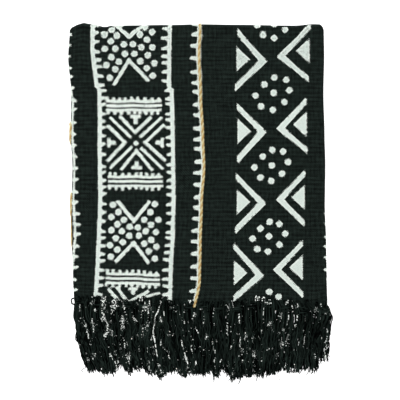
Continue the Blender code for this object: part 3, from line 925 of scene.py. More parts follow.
def add_strip(strip, material):
    """One painted strip as a closed thin sheet on its folds."""
    columns, rows = sheet_columns(strip), sheet_rows(strip)
    count, length = len(columns), len(rows)
    u, v = (grid.ravel() for grid in np.meshgrid(columns, rows, indexing="ij"))
    face = place(u, v, np.full_like(u, CLOTH_THICK / 2))
    back = place(u, v, np.full_like(u, -CLOTH_THICK / 2))
    points = np.concatenate([face, back])
    grid = np.arange(count * length).reshape(count, length)
    a, b, c, d = grid[:-1, :-1], grid[1:, :-1], grid[1:, 1:], grid[:-1, 1:]
    front = np.stack([a, b, c, d], axis=-1).reshape(-1, 4)
    quads = [front, front[:, ::-1] + count * length]
    under = grid + count * length
    for near_edge, far_edge in ((grid[0], under[0]), (under[-1], grid[-1])):
        quads.append(np.stack([far_edge[:-1], near_edge[:-1], near_edge[1:], far_edge[1:]], axis=-1))
    for near_edge, far_edge in ((under[:, 0], grid[:, 0]), (grid[:, -1], under[:, -1])):
        quads.append(np.stack([near_edge[:-1], near_edge[1:], far_edge[1:], far_edge[:-1]], axis=-1))
    uv = np.stack([crept(u, fold_along(v)[0]) + 0.013 * strip, v], axis=-1)
    depth = paint_depth(u, v, strip)
    fields = {"paint": np.concatenate([depth, depth - 0.0035])}
    name = f"painted_strip_{strip}"
    piece = make_mesh(name, points, np.concatenate(quads), np.concatenate([uv, uv]), fields, material)
    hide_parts(f"strip_{strip}")
    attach(piece, "root")
    return piece


def tubes(paths, radii, sides, reference):
    """Round yarns along many paths at once: points, faces along them, end faces and each point's reach."""
    paths = np.asarray(paths)
    yarns, rings, _ = paths.shape
    tangent = np.gradient(paths, axis=1)
    tangent /= np.linalg.norm(tangent, axis=2, keepdims=True)
    side = np.cross(tangent, np.asarray(reference))
    side /= np.linalg.norm(side, axis=2, keepdims=True)
    over = np.cross(side, tangent)
    turn = 2 * math.pi * np.arange(sides) / sides + math.pi / 4
    aside, above = (wave(turn)[None, None, :, None] for wave in (np.cos, np.sin))
    spoke = aside * side[:, :, None] + above * over[:, :, None]
    points = paths[:, :, None] + radii[:, :, None, None] * spoke
    grid = np.arange(yarns * rings * sides).reshape(yarns, rings, sides)
    a, b = grid[:, :-1], grid[:, 1:]
    quads = np.stack([a, np.roll(a, -1, axis=2), np.roll(b, -1, axis=2), b], axis=-1).reshape(-1, 4)
    caps = [ring[::-1] for ring in grid[:, 0]] + list(grid[:, -1])
    step = np.linalg.norm(np.diff(paths, axis=1), axis=2)
    along = np.concatenate([np.zeros((yarns, 1)), np.cumsum(step, axis=1)], axis=1)
    along = np.repeat(along[:, :, None], sides, axis=2)
    return points.reshape(-1, 3), quads[:, ::-1], [cap[::-1] for cap in caps], along.ravel()


def add_seam(seam, material):
    """The two-ply thread that laces two strips, full where it shows and pressed flat between layers."""
    shows = seam in (2, 3)
    open_end = RUN_LENGTH[0] + BEND_LENGTH * 0.75 if shows else 0.0
    fine = np.arange(-0.0070 if seam == 3 else -0.0006, open_end, 0.0006) if shows else np.array([])
    coarse = np.arange(open_end, CLOTH_LENGTH - 0.001, 0.0022)
    v = np.concatenate([fine, coarse])
    y = fold_along(v)[0]
    slack = eased(SLACK_ROWS, y, 1) if seam == 2 else np.zeros_like(v)
    if seam == 3:
        slack = 0.0004 - 0.0009 * np.clip(1 - v / 0.012, 0, 1.6) ** 2
    u = seam * STRIP_WIDTH + slack
    full = np.clip((open_end - v) / 0.006, 0, 1)
    centre = place(u, v, np.full_like(v, 0.0))
    outer = place(u, v, np.full_like(v, 0.0005))
    beside = place(u + 0.0004, v, np.full_like(v, 0.0))
    normal = outer - centre
    normal /= np.linalg.norm(normal, axis=1, keepdims=True)
    across = beside - centre
    across /= np.linalg.norm(across, axis=1, keepdims=True)
    twist = -2 * math.pi * v / TWIST_PITCH + 0.5 * np.sin(v * 90)
    width = 0.00060 + 0.00008 * np.sin(31 * v) * full
    height = 0.00018 + 0.00017 * full
    paths, lift = [], 0.00095 * full
    for ply in (0, 1):
        turn = twist + math.pi * ply
        ride = centre + across * (np.cos(turn) * width)[:, None]
        paths.append(ride + normal * (np.sin(turn) * height + lift)[:, None])
    radii = np.tile(0.00042 + 0.00088 * full, (2, 1))
    reference = np.tile(normal, (2, 1, 1))
    points, quads, caps, along = tubes(np.stack(paths), radii, 8, reference)
    ply = np.repeat([0.0, 1.0], len(v) * 8)
    uv = np.stack([along, ply], axis=-1)
    piece = make_mesh(f"seam_thread_{seam}", points, quads, uv, {"ply": ply}, material, caps)
    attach(piece, "root")
    return piece


def straight_span(strip):
    """The first and last place of a strip's longest straight run across the folded width."""
    first, last = (strip - 1) * STRIP_WIDTH, strip * STRIP_WIDTH
    spans, begun = [], 0.0
    for piece in ACROSS:
        ended = begun + piece["length"]
        if "heading" in piece:
            spans.append((max(begun, first + SEAM_GAP / 2), min(ended, last - SEAM_GAP / 2)))
        begun = ended
    return max(spans, key=lambda span: span[1] - span[0])


def lock_roots(strip, upper):
    """The middles of a hem's locks at its edge, the height of their layer in the pack, and their pitch."""
    low, high = straight_span(strip)
    pitch = (high - low) / LOCKS_PER_HEM
    u = low + (np.arange(LOCKS_PER_HEM) + 0.5) * pitch
    v = np.full_like(u, 0.0 if upper else CLOTH_LENGTH)
    _, height = fold_across(u, np.zeros_like(u))
    roots = place(u, v, np.zeros_like(u), (0.0, 0.0), creeps=False)
    return u, roots, float(height[0]), pitch


def rest_height(height, upper):
    """How high the middle of a layer's fringe lies once it has come to rest."""
    below = 1.5 + height / LAYER_PITCH if upper else 1.5 - height / LAYER_PITCH
    base = REST_THICK / 2
    if upper:
        base += 3 * REST_PITCH + REST_GAP
    return base + below * REST_PITCH


def seen_from(x, y, z):
    """Places of the throw in threads from the middle, as the camera sees them against the top face."""
    nearer = VIEW_HEIGHT / (VIEW_HEIGHT + ALONG[0][2] + PACK_THICK / 2 - z)
    return x * nearer / THREAD, (VIEW_Y + (y - VIEW_Y) * nearer) / THREAD


def seen_at(across, up, z):
    """The x and y of places at a height, from where the camera sees them, in threads."""
    farther = (VIEW_HEIGHT + ALONG[0][2] + PACK_THICK / 2 - z) / VIEW_HEIGHT
    return across * THREAD * farther, VIEW_Y + (up * THREAD - VIEW_Y) * farther


def yarn_stations(chance, lock, yarns, loose_share):
    """The places that one lock's yarns pass through, from the hem to their tips, and each one's bundle."""
    bundle = np.arange(yarns) % BUNDLES
    bundle_side = np.linspace(-0.78, 0.78, BUNDLES) + chance.normal(0, 0.08, BUNDLES)
    within = chance.uniform(-1, 1, yarns)
    side = bundle_side[bundle] + within * 0.30
    deep = 1.5 * (1 - within ** 2) - 1.0 + chance.uniform(-0.5, 0.5, yarns)
    loose = chance.uniform(0, 1, yarns) < loose_share
    wide = np.where(loose, 1.12, 1.0)
    lean = chance.normal(0, 0.0010, BUNDLES)[bundle] + chance.normal(0, 0.0004, yarns)
    x, y, z = lock["root"]
    half = {name: value * wide for name, value in LOCK_HALF.items()}
    knot_half = np.where(loose, LOOSE_HALF, LOCK_HALF["knot"])
    collar_half = np.where(loose, LOOSE_HALF, LOCK_HALF["collar"])
    under = np.where(loose & (lock["lift"] > 0), -0.0016, 0.0)
    drop = z - lock["rest_z"]
    neck_x = x + lock["knot"] + (lock["fall"] - lock["knot"]) * 0.5
    low_y = min(lock["knot_y"] - 0.0060, COLLAR_Y)
    tip_x = x + lock["tip"] + (bundle_side[bundle] + within * 0.17) * half["tip"] + lean * 1.6
    seen_x = seen_from(tip_x, 0.0, lock["rest_z"])[0]
    ragged = chance.normal(0, 1.7, BUNDLES)[bundle] + chance.normal(0, 0.9, yarns) + lock["short"]
    stray = np.where(chance.uniform(0, 1, yarns) < 0.09, chance.uniform(1.5, 4.5, yarns), 0.0)
    tip_up = straight(TIP_ROWS, seen_x, 1) + np.clip(ragged, -1.5, 6.0) - stray
    tip_y = seen_at(0.0, tip_up, lock["rest_z"])[1]
    zero = np.zeros(yarns)
    rows = (
        (x + side * half["root"], y + 0.0015 + zero, z + under),
        (x + side * half["root"] * 0.75, y - 0.0025 + zero, z + under),
        (lock["knot_x"] + side * knot_half, lock["knot_y"] + zero,
         z + lock["lift"] + deep * 0.0010 + under),
        (lock["knot_x"] + side * collar_half, low_y + zero, z + deep * 0.0009 + under),
        (neck_x + side * half["neck"] + lean * 0.4, NECK_Y + zero, z - drop * NECK_DROP + deep * 0.0010),
        (x + (lock["fall"] + lock["knot"]) * 0.36 + side * half["middle"] + lean * 0.8,
         (NECK_Y + REST_Y) / 2 + zero, z - drop * (NECK_DROP + 1) / 2 + deep * 0.0010),
        (x + lock["fall"] + side * half["rest"] + lean, REST_Y + zero, lock["rest_z"] + deep * 0.0009),
        (tip_x, tip_y, lock["rest_z"] + deep * 0.0007),
    )
    return np.stack([np.stack(row, axis=-1) for row in rows], axis=1), bundle


def kinked(chance, stations, bundle, rings):
    """Kinky yarns through their stations, that sway with their bundle and have tips that curl aside."""
    steps = np.linalg.norm(np.diff(stations, axis=1), axis=2)
    reach = np.concatenate([np.zeros((len(stations), 1)), np.cumsum(steps, axis=1)], axis=1)
    paths, run = [], []
    for path, far in zip(stations, reach):
        along = np.linspace(0, far[-1], rings)
        paths.append(np.stack([np.interp(along, far, path[:, k]) for k in range(3)], axis=-1))
        run.append(along)
    paths, run = np.stack(paths), np.stack(run)
    for _ in range(2):
        paths[:, 1:-1] = (paths[:, :-2] + 2 * paths[:, 1:-1] + paths[:, 2:]) / 4
    yarns = len(paths)
    free = np.clip((run - reach[:, 3:4]) / 0.012, 0, 1)
    wave = np.zeros_like(run)
    for length, tall in ((0.046, 0.0008), (0.026, 0.0007), (0.013, 0.0003)):
        pitch = (length * chance.uniform(0.8, 1.3, BUNDLES))[bundle]
        begin = chance.uniform(0, 6.28, BUNDLES)[bundle][:, None]
        wave += tall * np.sin(2 * math.pi * run / pitch[:, None] + begin)
    for length, tall in ((0.017, 0.00035), (0.0085, 0.00026)):
        pitch = length * chance.uniform(0.8, 1.3, (yarns, 1))
        wave += tall * np.sin(2 * math.pi * run / pitch + chance.uniform(0, 6.28, (yarns, 1)))
    near_tip = np.clip((run - reach[:, -1:] + 0.010) / 0.010, 0, 1) ** 2
    curl = chance.normal(0, 0.0012, BUNDLES)[bundle][:, None] + chance.normal(0, 0.0013, (yarns, 1))
    paths[..., 0] += free * wave + near_tip * curl
    begin = chance.uniform(0, 6.28, (yarns, 1))
    paths[..., 2] += free * 0.00040 * np.sin(2 * math.pi * run / 0.011 + begin)
    return paths, run / reach[:, -1:]


def knot_wraps(chance, lock, count):
    """The turns of yarn that tie one lock, as wound loops."""
    wraps = []
    for number in range(count):
        turn = np.linspace(0, 2 * math.pi + 1.2, WRAP_RINGS) + 1.9 * number + chance.uniform(0, 1)
        wide = 0.0048 + chance.normal(0, 0.0008)
        tall = 0.0010 + lock["lift"]
        slope = (turn - turn.mean()) * (0.0006 if number % 2 else -0.0006)
        wraps.append(np.stack([
            lock["knot_x"] + wide * np.cos(turn),
            lock["knot_y"] + (number - (count - 1) / 2) * 0.0014 + slope,
            lock["root"][2] + lock["lift"] + tall * np.sin(turn),
        ], axis=-1))
    return wraps


def hem_loops(chance, lock):
    """The small slack loops of warp that stand up over the hem beside a knot."""
    loops = []
    for _ in range(LOOPS_PER_LOCK):
        middle = lock["root"][0] + lock["knot"] * 0.5 + chance.uniform(-0.0065, 0.0065)
        wide, tall = chance.uniform(0.0012, 0.0026), chance.uniform(0.0020, 0.0044)
        turn = np.linspace(-0.5, math.pi + 0.5, WRAP_RINGS)
        loops.append(np.stack([
            middle + wide * np.cos(turn),
            lock["root"][1] - 0.0014 + tall * np.sin(turn),
            np.full(WRAP_RINGS, lock["root"][2] + 0.0013) + 0.0005 * np.sin(turn),
        ], axis=-1))
    return loops


def add_fringe(strip, upper, yarn_count, ring_count, sides, material):
    """The fringe of one hem: yarns gathered in knots, that fall and fan out to the floor or a layer."""
    chance = np.random.default_rng(1000 * strip + (7 if upper else 3))
    columns, roots, height, _ = lock_roots(strip, upper)
    top = upper and height > LAYER_PITCH
    hem_z = PACK_THICK / 2 + (3 * PACK_PITCH if upper else 0) + (height if upper else -height)
    groups = []
    for u, (x, y, z) in zip(columns, roots):
        knot, fall, tip = (float(eased(FAN_ROWS, np.array([x]), column)[0]) for column in (1, 2, 3))
        lock = {
            "root": (x, y, hem_z + (z - swollen(x, y, hem_z) if top else 0.0)),
            "knot": knot, "fall": fall, "tip": tip, "rest_z": rest_height(height, upper),
            "short": 0.0 if top else 2.8 + chance.uniform(-1, 1),
            "knot_x": x + knot + chance.normal(0, 0.0008 if top or abs(x) > EVEN_LOCKS else 0.0030),
            "knot_y": y - 0.0080 + chance.normal(0, 0.0018),
            "lift": 0.0011 if top else 0.0,
        }
        loose = 0.0 if abs(x) > TIGHT_LOCKS else 0.10 if top else 0.45
        stations, bundle = yarn_stations(chance, lock, yarn_count, loose)
        paths, share = kinked(chance, stations, bundle, ring_count)
        tapered = np.clip((1 - share) / 0.02, 0.75, 1)
        radii = YARN_RADIUS * chance.uniform(0.85, 1.2, (yarn_count, 1)) * tapered
        s = u - (strip - 1) * STRIP_WIDTH + (stations[:, 0, 0] - x)
        painted = chance.uniform(0, 1, yarn_count) < painted_share(strip, s)
        flecks = np.where(painted, chance.uniform(0.3, 0.7, yarn_count), 0.0)
        groups.append((paths, radii, flecks, sides))
        ties = knot_wraps(chance, lock, 5 if top else 3)
        if top:
            ties += hem_loops(chance, lock)
        likely = painted_share(strip, np.array([u - (strip - 1) * STRIP_WIDTH]))[0]
        tie_flecks = np.where(chance.uniform(0, 1, len(ties)) < 0.5 * likely, 0.75, 0.0)
        groups.append((np.stack(ties), np.full((len(ties), WRAP_RINGS), TIE_RADIUS), tie_flecks, 4))
    if top:
        for ends in LAID_YARNS:
            if (ends[0] < 0) == (strip == 3):
                groups.append(laid_yarn(chance, ends, rest_height(height, upper)))
    side_name = "upper" if upper else "lower"
    piece = add_yarns(f"knotted_fringe_{strip}_{side_name}", groups, 40.0 * strip, material)
    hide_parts(f"fringe_{strip}_{side_name}")
    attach(piece, "root")
    return piece


def laid_yarn(chance, ends, rest_z):
    """A painted yarn that lies on top of the others, through four places given in threads."""
    hem_z = PACK_THICK / 2 + 3 * PACK_PITCH + 1.5 * LAYER_PITCH + 0.0032
    share = np.clip((COLLAR_Y - np.array(ends[1:8:2]) * THREAD) / (COLLAR_Y - REST_Y), 0, 1)
    level = hem_z + (rest_z + 0.0028 - hem_z) * share
    stations = np.stack([*seen_at(np.array(ends[0:8:2]), np.array(ends[1:8:2]), level), level], axis=-1)
    knots = np.linspace(0, 3, 26)
    path = np.stack([np.interp(knots, np.arange(4), stations[:, k]) for k in range(3)], axis=-1)
    for _ in range(8):
        path[1:-1] = (path[:-2] + 2 * path[1:-1] + path[2:]) / 4
    path[:, 0] += 0.0004 * np.sin(knots * 7 + chance.uniform(0, 6.28))
    return path[None], np.full((1, len(path)), ends[8]), np.array([ends[9]]), 5


def add_yarns(name, groups, first_id, material):
    """One mesh of many yarns, each group with paths, radii, paint shares and a number of sides."""
    points, quads, caps, flecks, blots, along, ids, start = [], [], [], [], [], [], [], 0
    for paths, radii, painted, sides in groups:
        rings = paths.shape[1]
        radii = np.broadcast_to(radii, paths.shape[:2])
        placed = settled_yarns(paths, radii)
        flat = np.abs(np.diff(placed[..., 2], axis=1)).mean() < 0.0004
        reference = (0.0, 0.0, 1.0) if flat else (0.05, 0.35, 0.93)
        made, faces, ends, reach = tubes(placed, radii, sides, reference)
        points.append(made)
        quads.append(faces + start)
        caps += [cap + start for cap in ends]
        along.append(reach)
        flecks.append(np.repeat(painted, rings * sides))
        blots.append(np.repeat(blotted(paths).ravel(), sides))
        ids.append(np.repeat(first_id + np.arange(len(paths)) * 1.7 + start * 0.0013, rings * sides))
        start += len(made)
    uv = np.stack([np.concatenate(along), np.concatenate(ids)], axis=-1)
    fields = {"fleck": np.concatenate(flecks), "blot": np.concatenate(blots)}
    return make_mesh(name, np.concatenate(points), np.concatenate(quads), uv, fields, material, caps)


def blotted(paths):
    """How much each place of the yarns is inside the blots of paint, from 0 to 1."""
    across, up = seen_from(paths[..., 0], paths[..., 1], paths[..., 2])
    share = np.zeros_like(across)
    for blot_x, blot_y, reach in BLOTS:
        away = np.hypot(across - blot_x, (up - blot_y) * 0.7) / (reach * 1.4 + 0.5)
        share = np.maximum(share, 1 - away ** 2)
    return share


def settled_yarns(paths, radii):
    """Yarns set on this frame's middle, with the pile's swell, and none below the floor."""
    x, y, z = paths[..., 0], paths[..., 1], swollen(paths[..., 0], paths[..., 1], paths[..., 2])
    return np.stack([x - MIDDLE[0], y - MIDDLE[1], np.maximum(z, radii)], axis=-1)


def painted_share(strip, s):
    """The share of yarns that carry paint, by where their warp runs in the strip."""
    rows = LADDER_YARNS if strip % 2 else DIAMOND_YARNS
    return straight(rows, s / THREAD, 1)


class Value:
    """A number that varies over a surface, so that shader sums read as plain ones."""

    def __init__(self, maker, socket):
        self.maker = maker
        self.socket = socket

    def _sum(self, operation, first, second):
        sockets = {0: first, 1: second}
        node = self.maker.node("ShaderNodeMath", {"operation": operation}, sockets)
        return Value(self.maker, node.outputs[0])

    def __add__(self, other):
        return self._sum("ADD", self, other)

    def __sub__(self, other):
        return self._sum("SUBTRACT", self, other)

    def __mul__(self, other):
        return self._sum("MULTIPLY", self, other)

    def __truediv__(self, other):
        return self._sum("DIVIDE", self, other)

    def __radd__(self, other):
        return self._sum("ADD", other, self)

    def __rsub__(self, other):
        return self._sum("SUBTRACT", other, self)

    def __rmul__(self, other):
        return self._sum("MULTIPLY", other, self)

    def limited(self, low=0.0, high=1.0):
        """This number kept between two others."""
        return self._sum("MINIMUM", self._sum("MAXIMUM", self, low), high)

    def above(self, other, soft):
        """1 where this is above another number, 0 where below, with a soft step."""
        return ((self - other) / soft + 0.5).limited()

    def sine(self):
        """The sine of this number."""
        return self._sum("SINE", self, 0.0)


class Finish:
    """The node tree of one material."""

    def __init__(self, name):
        self.material = bpy.data.materials.new(name)
        self.material.use_nodes = True
        self.tree = self.material.node_tree
        self.shader = self.tree.nodes["Principled BSDF"]

    def set(self, socket, value):
        """Sets or links one socket."""
        if isinstance(value, Value):
            self.tree.links.new(value.socket, socket)
        elif isinstance(value, bpy.types.NodeSocket):
            self.tree.links.new(value, socket)
        else:
            socket.default_value = value

    def node(self, kind, settings=None, sockets=None):
        """Adds a node, with its settings first and then what its sockets hold."""
        node = self.tree.nodes.new(kind)
        for key, value in (settings or {}).items():
            setattr(node, key, value)
        for key, value in (sockets or {}).items():
            self.set(node.inputs[key], value)
        return node

    def value(self, node, output=0):
        """One output of a node as a number."""
        return Value(self, node.outputs[output])

    def field(self, name):
        """A named value of the mesh."""
        node = self.node("ShaderNodeAttribute", {"attribute_name": name})
        return Value(self, node.outputs["Fac"])

    def cloth_place(self):
        """The two directions of the cloth's own map, in metres."""
        node = self.node("ShaderNodeUVMap", {"uv_map": "cloth"})
        split = self.node("ShaderNodeSeparateXYZ", None, {0: node.outputs[0]})
        return Value(self, split.outputs[0]), Value(self, split.outputs[1])

    def spot(self, x, y, z=0.0):
        """A point from two or three numbers."""
        return self.node("ShaderNodeCombineXYZ", None, {0: x, 1: y, 2: z}).outputs[0]

    def noise(self, spot, scale, detail=2.0, rough=0.5):
        """Soft noise round a half."""
        sockets = {"Vector": spot, "Scale": scale, "Detail": detail, "Roughness": rough}
        return self.value(self.node("ShaderNodeTexNoise", None, sockets))

    def blend(self, share, first, second):
        """A colour between two, by share."""
        node = self.node("ShaderNodeMix", {"data_type": "RGBA"}, {0: share, 6: first, 7: second})
        return node.outputs[2]

    def bump(self, height, distance, strength):
        """The surface's normal bent by a height."""
        sockets = {"Height": height, "Distance": distance, "Strength": strength}
        return self.node("ShaderNodeBump", None, sockets).outputs[0]

    def surface(self, colour, roughness, specular, normal=None):
        """Sets the shader's own sockets and gives the material."""
        inputs = self.shader.inputs
        self.set(inputs["Base Color"], colour)
        self.set(inputs["Roughness"], roughness)
        self.set(inputs["Specular IOR Level"], specular)
        if normal is not None:
            self.set(inputs["Normal"], normal)
        return self.material


def painted_cotton(looks):
    """Coarse black cotton with matt off-white paint on its threads, rubbed thin in places."""
    finish = Finish("painted_cotton")
    across, along = finish.cloth_place()
    spot = finish.spot
    warp = finish.noise(spot(across * 620, along * 90), 1.0, 2.0, 0.6)
    weft = finish.noise(spot(across * 60, along * 620, 3.0), 1.0, 2.0, 0.6)
    wander = finish.noise(spot(across * 70, along * 70), 1.0, 2.0)
    warp_wave = (across * (2 * math.pi / looks.thread) + wander * 4.0).sine()
    weft_wave = (along * (2 * math.pi / looks.thread) + wander * 4.0).sine()
    weave = warp_wave * weft_wave
    rows = (along * (math.pi / looks.thread) + wander * 3.0).sine()
    columns = (across * (math.pi / looks.thread) + wander * 3.0).sine()
    slub = warp + weft - 1.0
    edge = finish.noise(spot(across * 380, along * 380), 1.0, 2.0, 0.6)
    depth = finish.field("paint")
    ragged = (edge - 0.5) * 0.0022 + weave * 0.00080 + slub * 0.0012 + rows * 0.00012
    mask = (depth + ragged).above(0.00016, 0.00030)
    rim = 1.0 - depth.above(0.0014, 0.0012)
    thin = finish.noise(spot(across * 560, along * 560), 1.0, 3.0, 0.7)
    patch = finish.noise(spot(across * 40, along * 40), 1.0, 2.0)
    rubbed = along.above(0.262, 0.050) * (0.37 - along).above(0.0, 0.01)
    age = (patch.above(0.50, 0.22) * 0.5 + 0.3 + rubbed * 0.9) * (1.0 - rim * 0.75)
    worn = (thin - 0.5 + slub * 0.35).above(0.04, 0.10) * 0.34 * age
    black = looks.cloth_black
    dark = tuple(c * 0.35 for c in black[:3]) + (1.0,)
    light = tuple(c * 2.15 for c in black[:3]) + (1.0,)
    # Painted highlight and shade: the black is lighter on the weave's thread ridges and darker in its
    # hollows, where light and shade fall on the threads. Along the slubs it is partly the yarn's own uneven
    # dye and partly painted highlight.
    weave_highlight_and_shade = rows * 0.17 + columns * 0.08 + weave * 0.20
    ground = finish.blend((slub * 1.5 + weave_highlight_and_shade + 0.40).limited(), dark, light)
    tone = (patch * 0.5 + (thin - 0.5) * 1.3 + slub * 0.9 + rim * 0.35 + 0.15).limited()
    white = finish.blend(tone, tuple(looks.paint_shade), tuple(looks.paint_white))
    cover = (mask * (1.0 - worn)).limited()
    bump = finish.bump(weave * 0.5 + slub * 1.2 + mask * 0.6, 0.00035, 0.8)
    return finish.surface(finish.blend(cover, ground, white), 0.95 - cover * 0.12, 0.04, bump)


def fringe_yarn(looks):
    """Black cotton yarn, here and there with dashes of the strips' paint on its plies."""
    finish = Finish("fringe_yarn")
    along, number = finish.cloth_place()
    spot = finish.spot
    fleck = finish.field("fleck")
    blot = finish.field("blot")
    stretch = finish.noise(spot(along * 70, number * 3.1, 4.0), 1.0, 1.0)
    dash = finish.noise(spot(along * 760, number * 7.3), 1.0, 0.0)
    level = blot * 0.37 + fleck.above(0.76, 0.5) * 0.46 + fleck * stretch.above(0.58, 0.10) * 0.62
    mask = (dash + level.limited(0.0, 0.50) + fleck.above(0.84, 0.1) * 0.10).above(0.98, 0.08)
    fuzz = finish.noise(spot(along * 800, number * 1.7), 1.0, 2.0)
    # Painted shade and highlight: stretches of each strand are darkened to near black or lightened to over
    # twice the cloth's black, standing in for strands that lie in shade and strands that catch the light.
    # Near the paint blots the black is also lighter with lint.
    strand_shade_and_highlight = finish.noise(spot(along * 30, number * 5.9, 8.0), 1.0, 1.0)
    black = looks.cloth_black
    dark = tuple(c * 0.05 for c in black[:3]) + (1.0,)
    light = tuple(c * 2.5 for c in black[:3]) + (1.0,)
    ground = finish.blend(((strand_shade_and_highlight - 0.5) * 3.2 + fuzz * 0.5 + blot * 0.25 + 0.10).limited(), dark, light)
    # The yarns' paint runs at random from the paint white up to a whiter painted highlight.
    white = finish.blend(fuzz, tuple(looks.paint_white), YARN_PAINT_HIGHLIGHT)
    bump = finish.bump(fuzz, 0.0002, 0.6)
    return finish.surface(finish.blend(mask, ground, white), 0.95 - mask * 0.1, 0.01, bump)


def seam_thread(looks):
    """Waxed two-ply thread, one ply tan and one cream."""
    finish = Finish("seam_thread")
    along, _ = finish.cloth_place()
    ply = finish.field("ply")
    fibre = finish.noise(finish.spot(along * 700, ply * 5.0), 1.0, 2.0)
    patch = finish.noise(finish.spot(along * 90, ply * 9.0), 1.0, 1.0)
    share = (ply * 0.8 + (patch - 0.5) * 0.9 + (fibre - 0.5) * 0.3 + 0.12).limited()
    tan, cream = tuple(looks.thread_tan), tuple(looks.thread_cream)
    bump = finish.bump(fibre, 0.0001, 0.4)
    return finish.surface(finish.blend(share, tan, cream), 0.75 + (fibre - 0.5) * 0.2, 0.15, bump)


class ThrowLooks(bpy.types.PropertyGroup):
    """Colours and weave of the throw."""

    cloth_black: FloatVectorProperty(
        name="Cloth black", description="Colour of the dyed cotton", subtype="COLOR", size=4,
        default=(0.0062, 0.0096, 0.0081, 1.0), min=0.0, max=1.0,
    )
    paint_white: FloatVectorProperty(
        name="Paint white", description="Colour of thick paint", subtype="COLOR", size=4,
        default=(0.715, 0.765, 0.710, 1.0), min=0.0, max=1.0,
    )
    paint_shade: FloatVectorProperty(
        name="Paint shade", description="Colour of thin paint", subtype="COLOR", size=4,
        default=(0.43, 0.51, 0.47, 1.0), min=0.0, max=1.0,
    )
    thread_tan: FloatVectorProperty(
        name="Thread tan", description="Colour of the seam thread's darker ply", subtype="COLOR", size=4,
        default=(0.36, 0.225, 0.075, 1.0), min=0.0, max=1.0,
    )
    thread_cream: FloatVectorProperty(
        name="Thread cream", description="Colour of the seam thread's lighter ply", subtype="COLOR", size=4,
        default=(0.52, 0.465, 0.27, 1.0), min=0.0, max=1.0,
    )
    thread: FloatProperty(
        name="Weave", description="Distance between the cloth's thread pairs", default=0.0028,
        min=0.001, max=0.006, unit="LENGTH", precision=4,
    )


class FringeLooks(bpy.types.PropertyGroup):
    """How full the fringe is."""

    top_yarns: IntProperty(
        name="Top yarns", description="Yarns in each knot of the top layer", default=26, min=4, max=40,
    )
    inner_yarns: IntProperty(
        name="Inner yarns", description="Yarns in each knot of other layers", default=14, min=4, max=40,
    )


class StageLooks(bpy.types.PropertyGroup):
    """The camera's height, the lights and the floor."""

    camera_height: FloatProperty(
        name="Camera height", description="Height of the camera above the throw's top face",
        default=VIEW_HEIGHT, min=0.5, max=5.0, unit="LENGTH",
    )
    lens: FloatProperty(
        name="Lens", description="Focal length in millimetres", default=120.0, min=20.0, max=300.0,
    )
    world_light: FloatProperty(
        name="World light", description="Strength of the even light", default=1.0, min=0.0, max=5.0,
    )
    soft_light: FloatProperty(
        name="Soft light", description="Power of the large soft light", default=26.0, min=0.0, max=500.0,
        unit="POWER",
    )
    floor_glow: FloatProperty(
        name="Floor glow", description="Light of the floor itself, as of a lit photo table", default=0.8,
        min=0.0, max=5.0,
    )
    floor: FloatVectorProperty(
        name="Floor", description="Colour of the floor", subtype="COLOR", size=4,
        default=(0.88, 0.88, 0.88, 1.0), min=0.0, max=1.0,
    )


class THROW_OT_strips(bpy.types.Operator):
    """Adds the eight painted strips on their folds"""

    bl_idname = "throw.strips"
    bl_label = "Painted strips"

    def execute(self, context):
        material = painted_cotton(context.scene.throw_looks)
        for strip in range(1, STRIP_COUNT + 1):
            add_strip(strip, material)
        return {"FINISHED"}


class THROW_OT_seams(bpy.types.Operator):
    """Adds the seven laced seams between the strips"""

    bl_idname = "throw.seams"
    bl_label = "Seams"

    def execute(self, context):
        material = seam_thread(context.scene.throw_looks)
        for seam in range(1, STRIP_COUNT):
            add_seam(seam, material)
        return {"FINISHED"}


class THROW_OT_fringes(bpy.types.Operator):
    """Adds the sixteen knotted fringes"""

    bl_idname = "throw.fringes"
    bl_label = "Fringes"

    def execute(self, context):
        material = fringe_yarn(context.scene.throw_looks)
        looks = context.scene.throw_fringe
        for strip in range(1, STRIP_COUNT + 1):
            if strip in SHOWN_STRIPS:
                add_fringe(strip, True, looks.top_yarns, 44, 4, material)
            else:
                add_fringe(strip, True, looks.inner_yarns, 26, 3, material)
            add_fringe(strip, False, looks.inner_yarns, 24, 3, material)
        return {"FINISHED"}


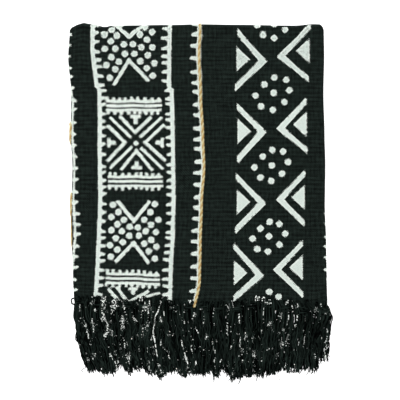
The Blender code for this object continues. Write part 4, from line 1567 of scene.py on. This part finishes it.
class THROW_OT_stage(bpy.types.Operator):
    """Adds the floor, the lights and the camera"""

    bl_idname = "throw.stage"
    bl_label = "Stage"

    def execute(self, context):
        looks = context.scene.throw_stage
        bpy.ops.object.select_all(action="DESELECT")
        bpy.ops.mesh.primitive_plane_add(size=6.0, location=(0, 0, -0.0004))
        floor = context.object
        floor.name = "floor"
        bpy.ops.object.transform_apply(location=True, rotation=True, scale=True)
        finish = Finish("pale_floor")
        finish.surface(tuple(looks.floor), 0.9, 0.1)
        finish.set(finish.shader.inputs["Emission Color"], (1.0, 1.0, 1.0, 1.0))
        finish.set(finish.shader.inputs["Emission Strength"], looks.floor_glow)
        floor.data.materials.append(finish.material)

        world = bpy.data.worlds.new("studio")
        world.use_nodes = True
        background = world.node_tree.nodes["Background"]
        background.inputs["Color"].default_value = (1.0, 1.0, 1.0, 1.0)
        background.inputs["Strength"].default_value = looks.world_light
        context.scene.world = world

        bpy.ops.object.light_add(type="AREA", location=(-0.9, 1.1, 1.7))
        light = context.object
        light.name = "soft_box"
        light.data.energy = looks.soft_light
        light.data.size = 1.2
        light.rotation_euler = (math.radians(-33), math.radians(-27), 0)

        top = ALONG[0][2] + PACK_THICK / 2
        bpy.ops.object.camera_add(location=(-MIDDLE[0], VIEW_Y - MIDDLE[1], top + looks.camera_height))
        camera = context.object
        camera.name = "camera"
        camera.data.lens = looks.lens
        camera.data.sensor_width = 36.0
        camera.data.clip_end = 20.0
        context.scene.camera = camera
        context.scene.view_settings.view_transform = "Standard"
        return {"FINISHED"}


class THROW_PT_sidebar(bpy.types.Panel):
    """Lists the throw's pieces"""

    bl_label = "Throw"
    bl_idname = "THROW_PT_sidebar"
    bl_space_type = "VIEW_3D"
    bl_region_type = "UI"
    bl_category = "Throw"

    def draw(self, context):
        for operator in PIECE_OPERATORS:
            self.layout.operator(operator.bl_idname)
        for group in (context.scene.throw_looks, context.scene.throw_fringe, context.scene.throw_stage):
            for name in group.__annotations__:
                self.layout.prop(group, name)


PIECE_OPERATORS = (THROW_OT_strips, THROW_OT_seams, THROW_OT_fringes, THROW_OT_stage)
CLASSES = (ThrowLooks, FringeLooks, StageLooks) + PIECE_OPERATORS + (THROW_PT_sidebar,)


def register():
    for cls in CLASSES:
        bpy.utils.register_class(cls)
    bpy.types.Scene.throw_looks = PointerProperty(type=ThrowLooks)
    bpy.types.Scene.throw_fringe = PointerProperty(type=FringeLooks)
    bpy.types.Scene.throw_stage = PointerProperty(type=StageLooks)


def unregister():
    del bpy.types.Scene.throw_stage
    del bpy.types.Scene.throw_fringe
    del bpy.types.Scene.throw_looks
    for cls in reversed(CLASSES):
        bpy.utils.unregister_class(cls)


def main():
    """Builds every piece."""
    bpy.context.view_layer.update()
    register()
    bpy.ops.throw.stage()
    bpy.ops.throw.strips()
    bpy.ops.throw.seams()
    bpy.ops.throw.fringes()


if __name__ == "__main__":
    main()
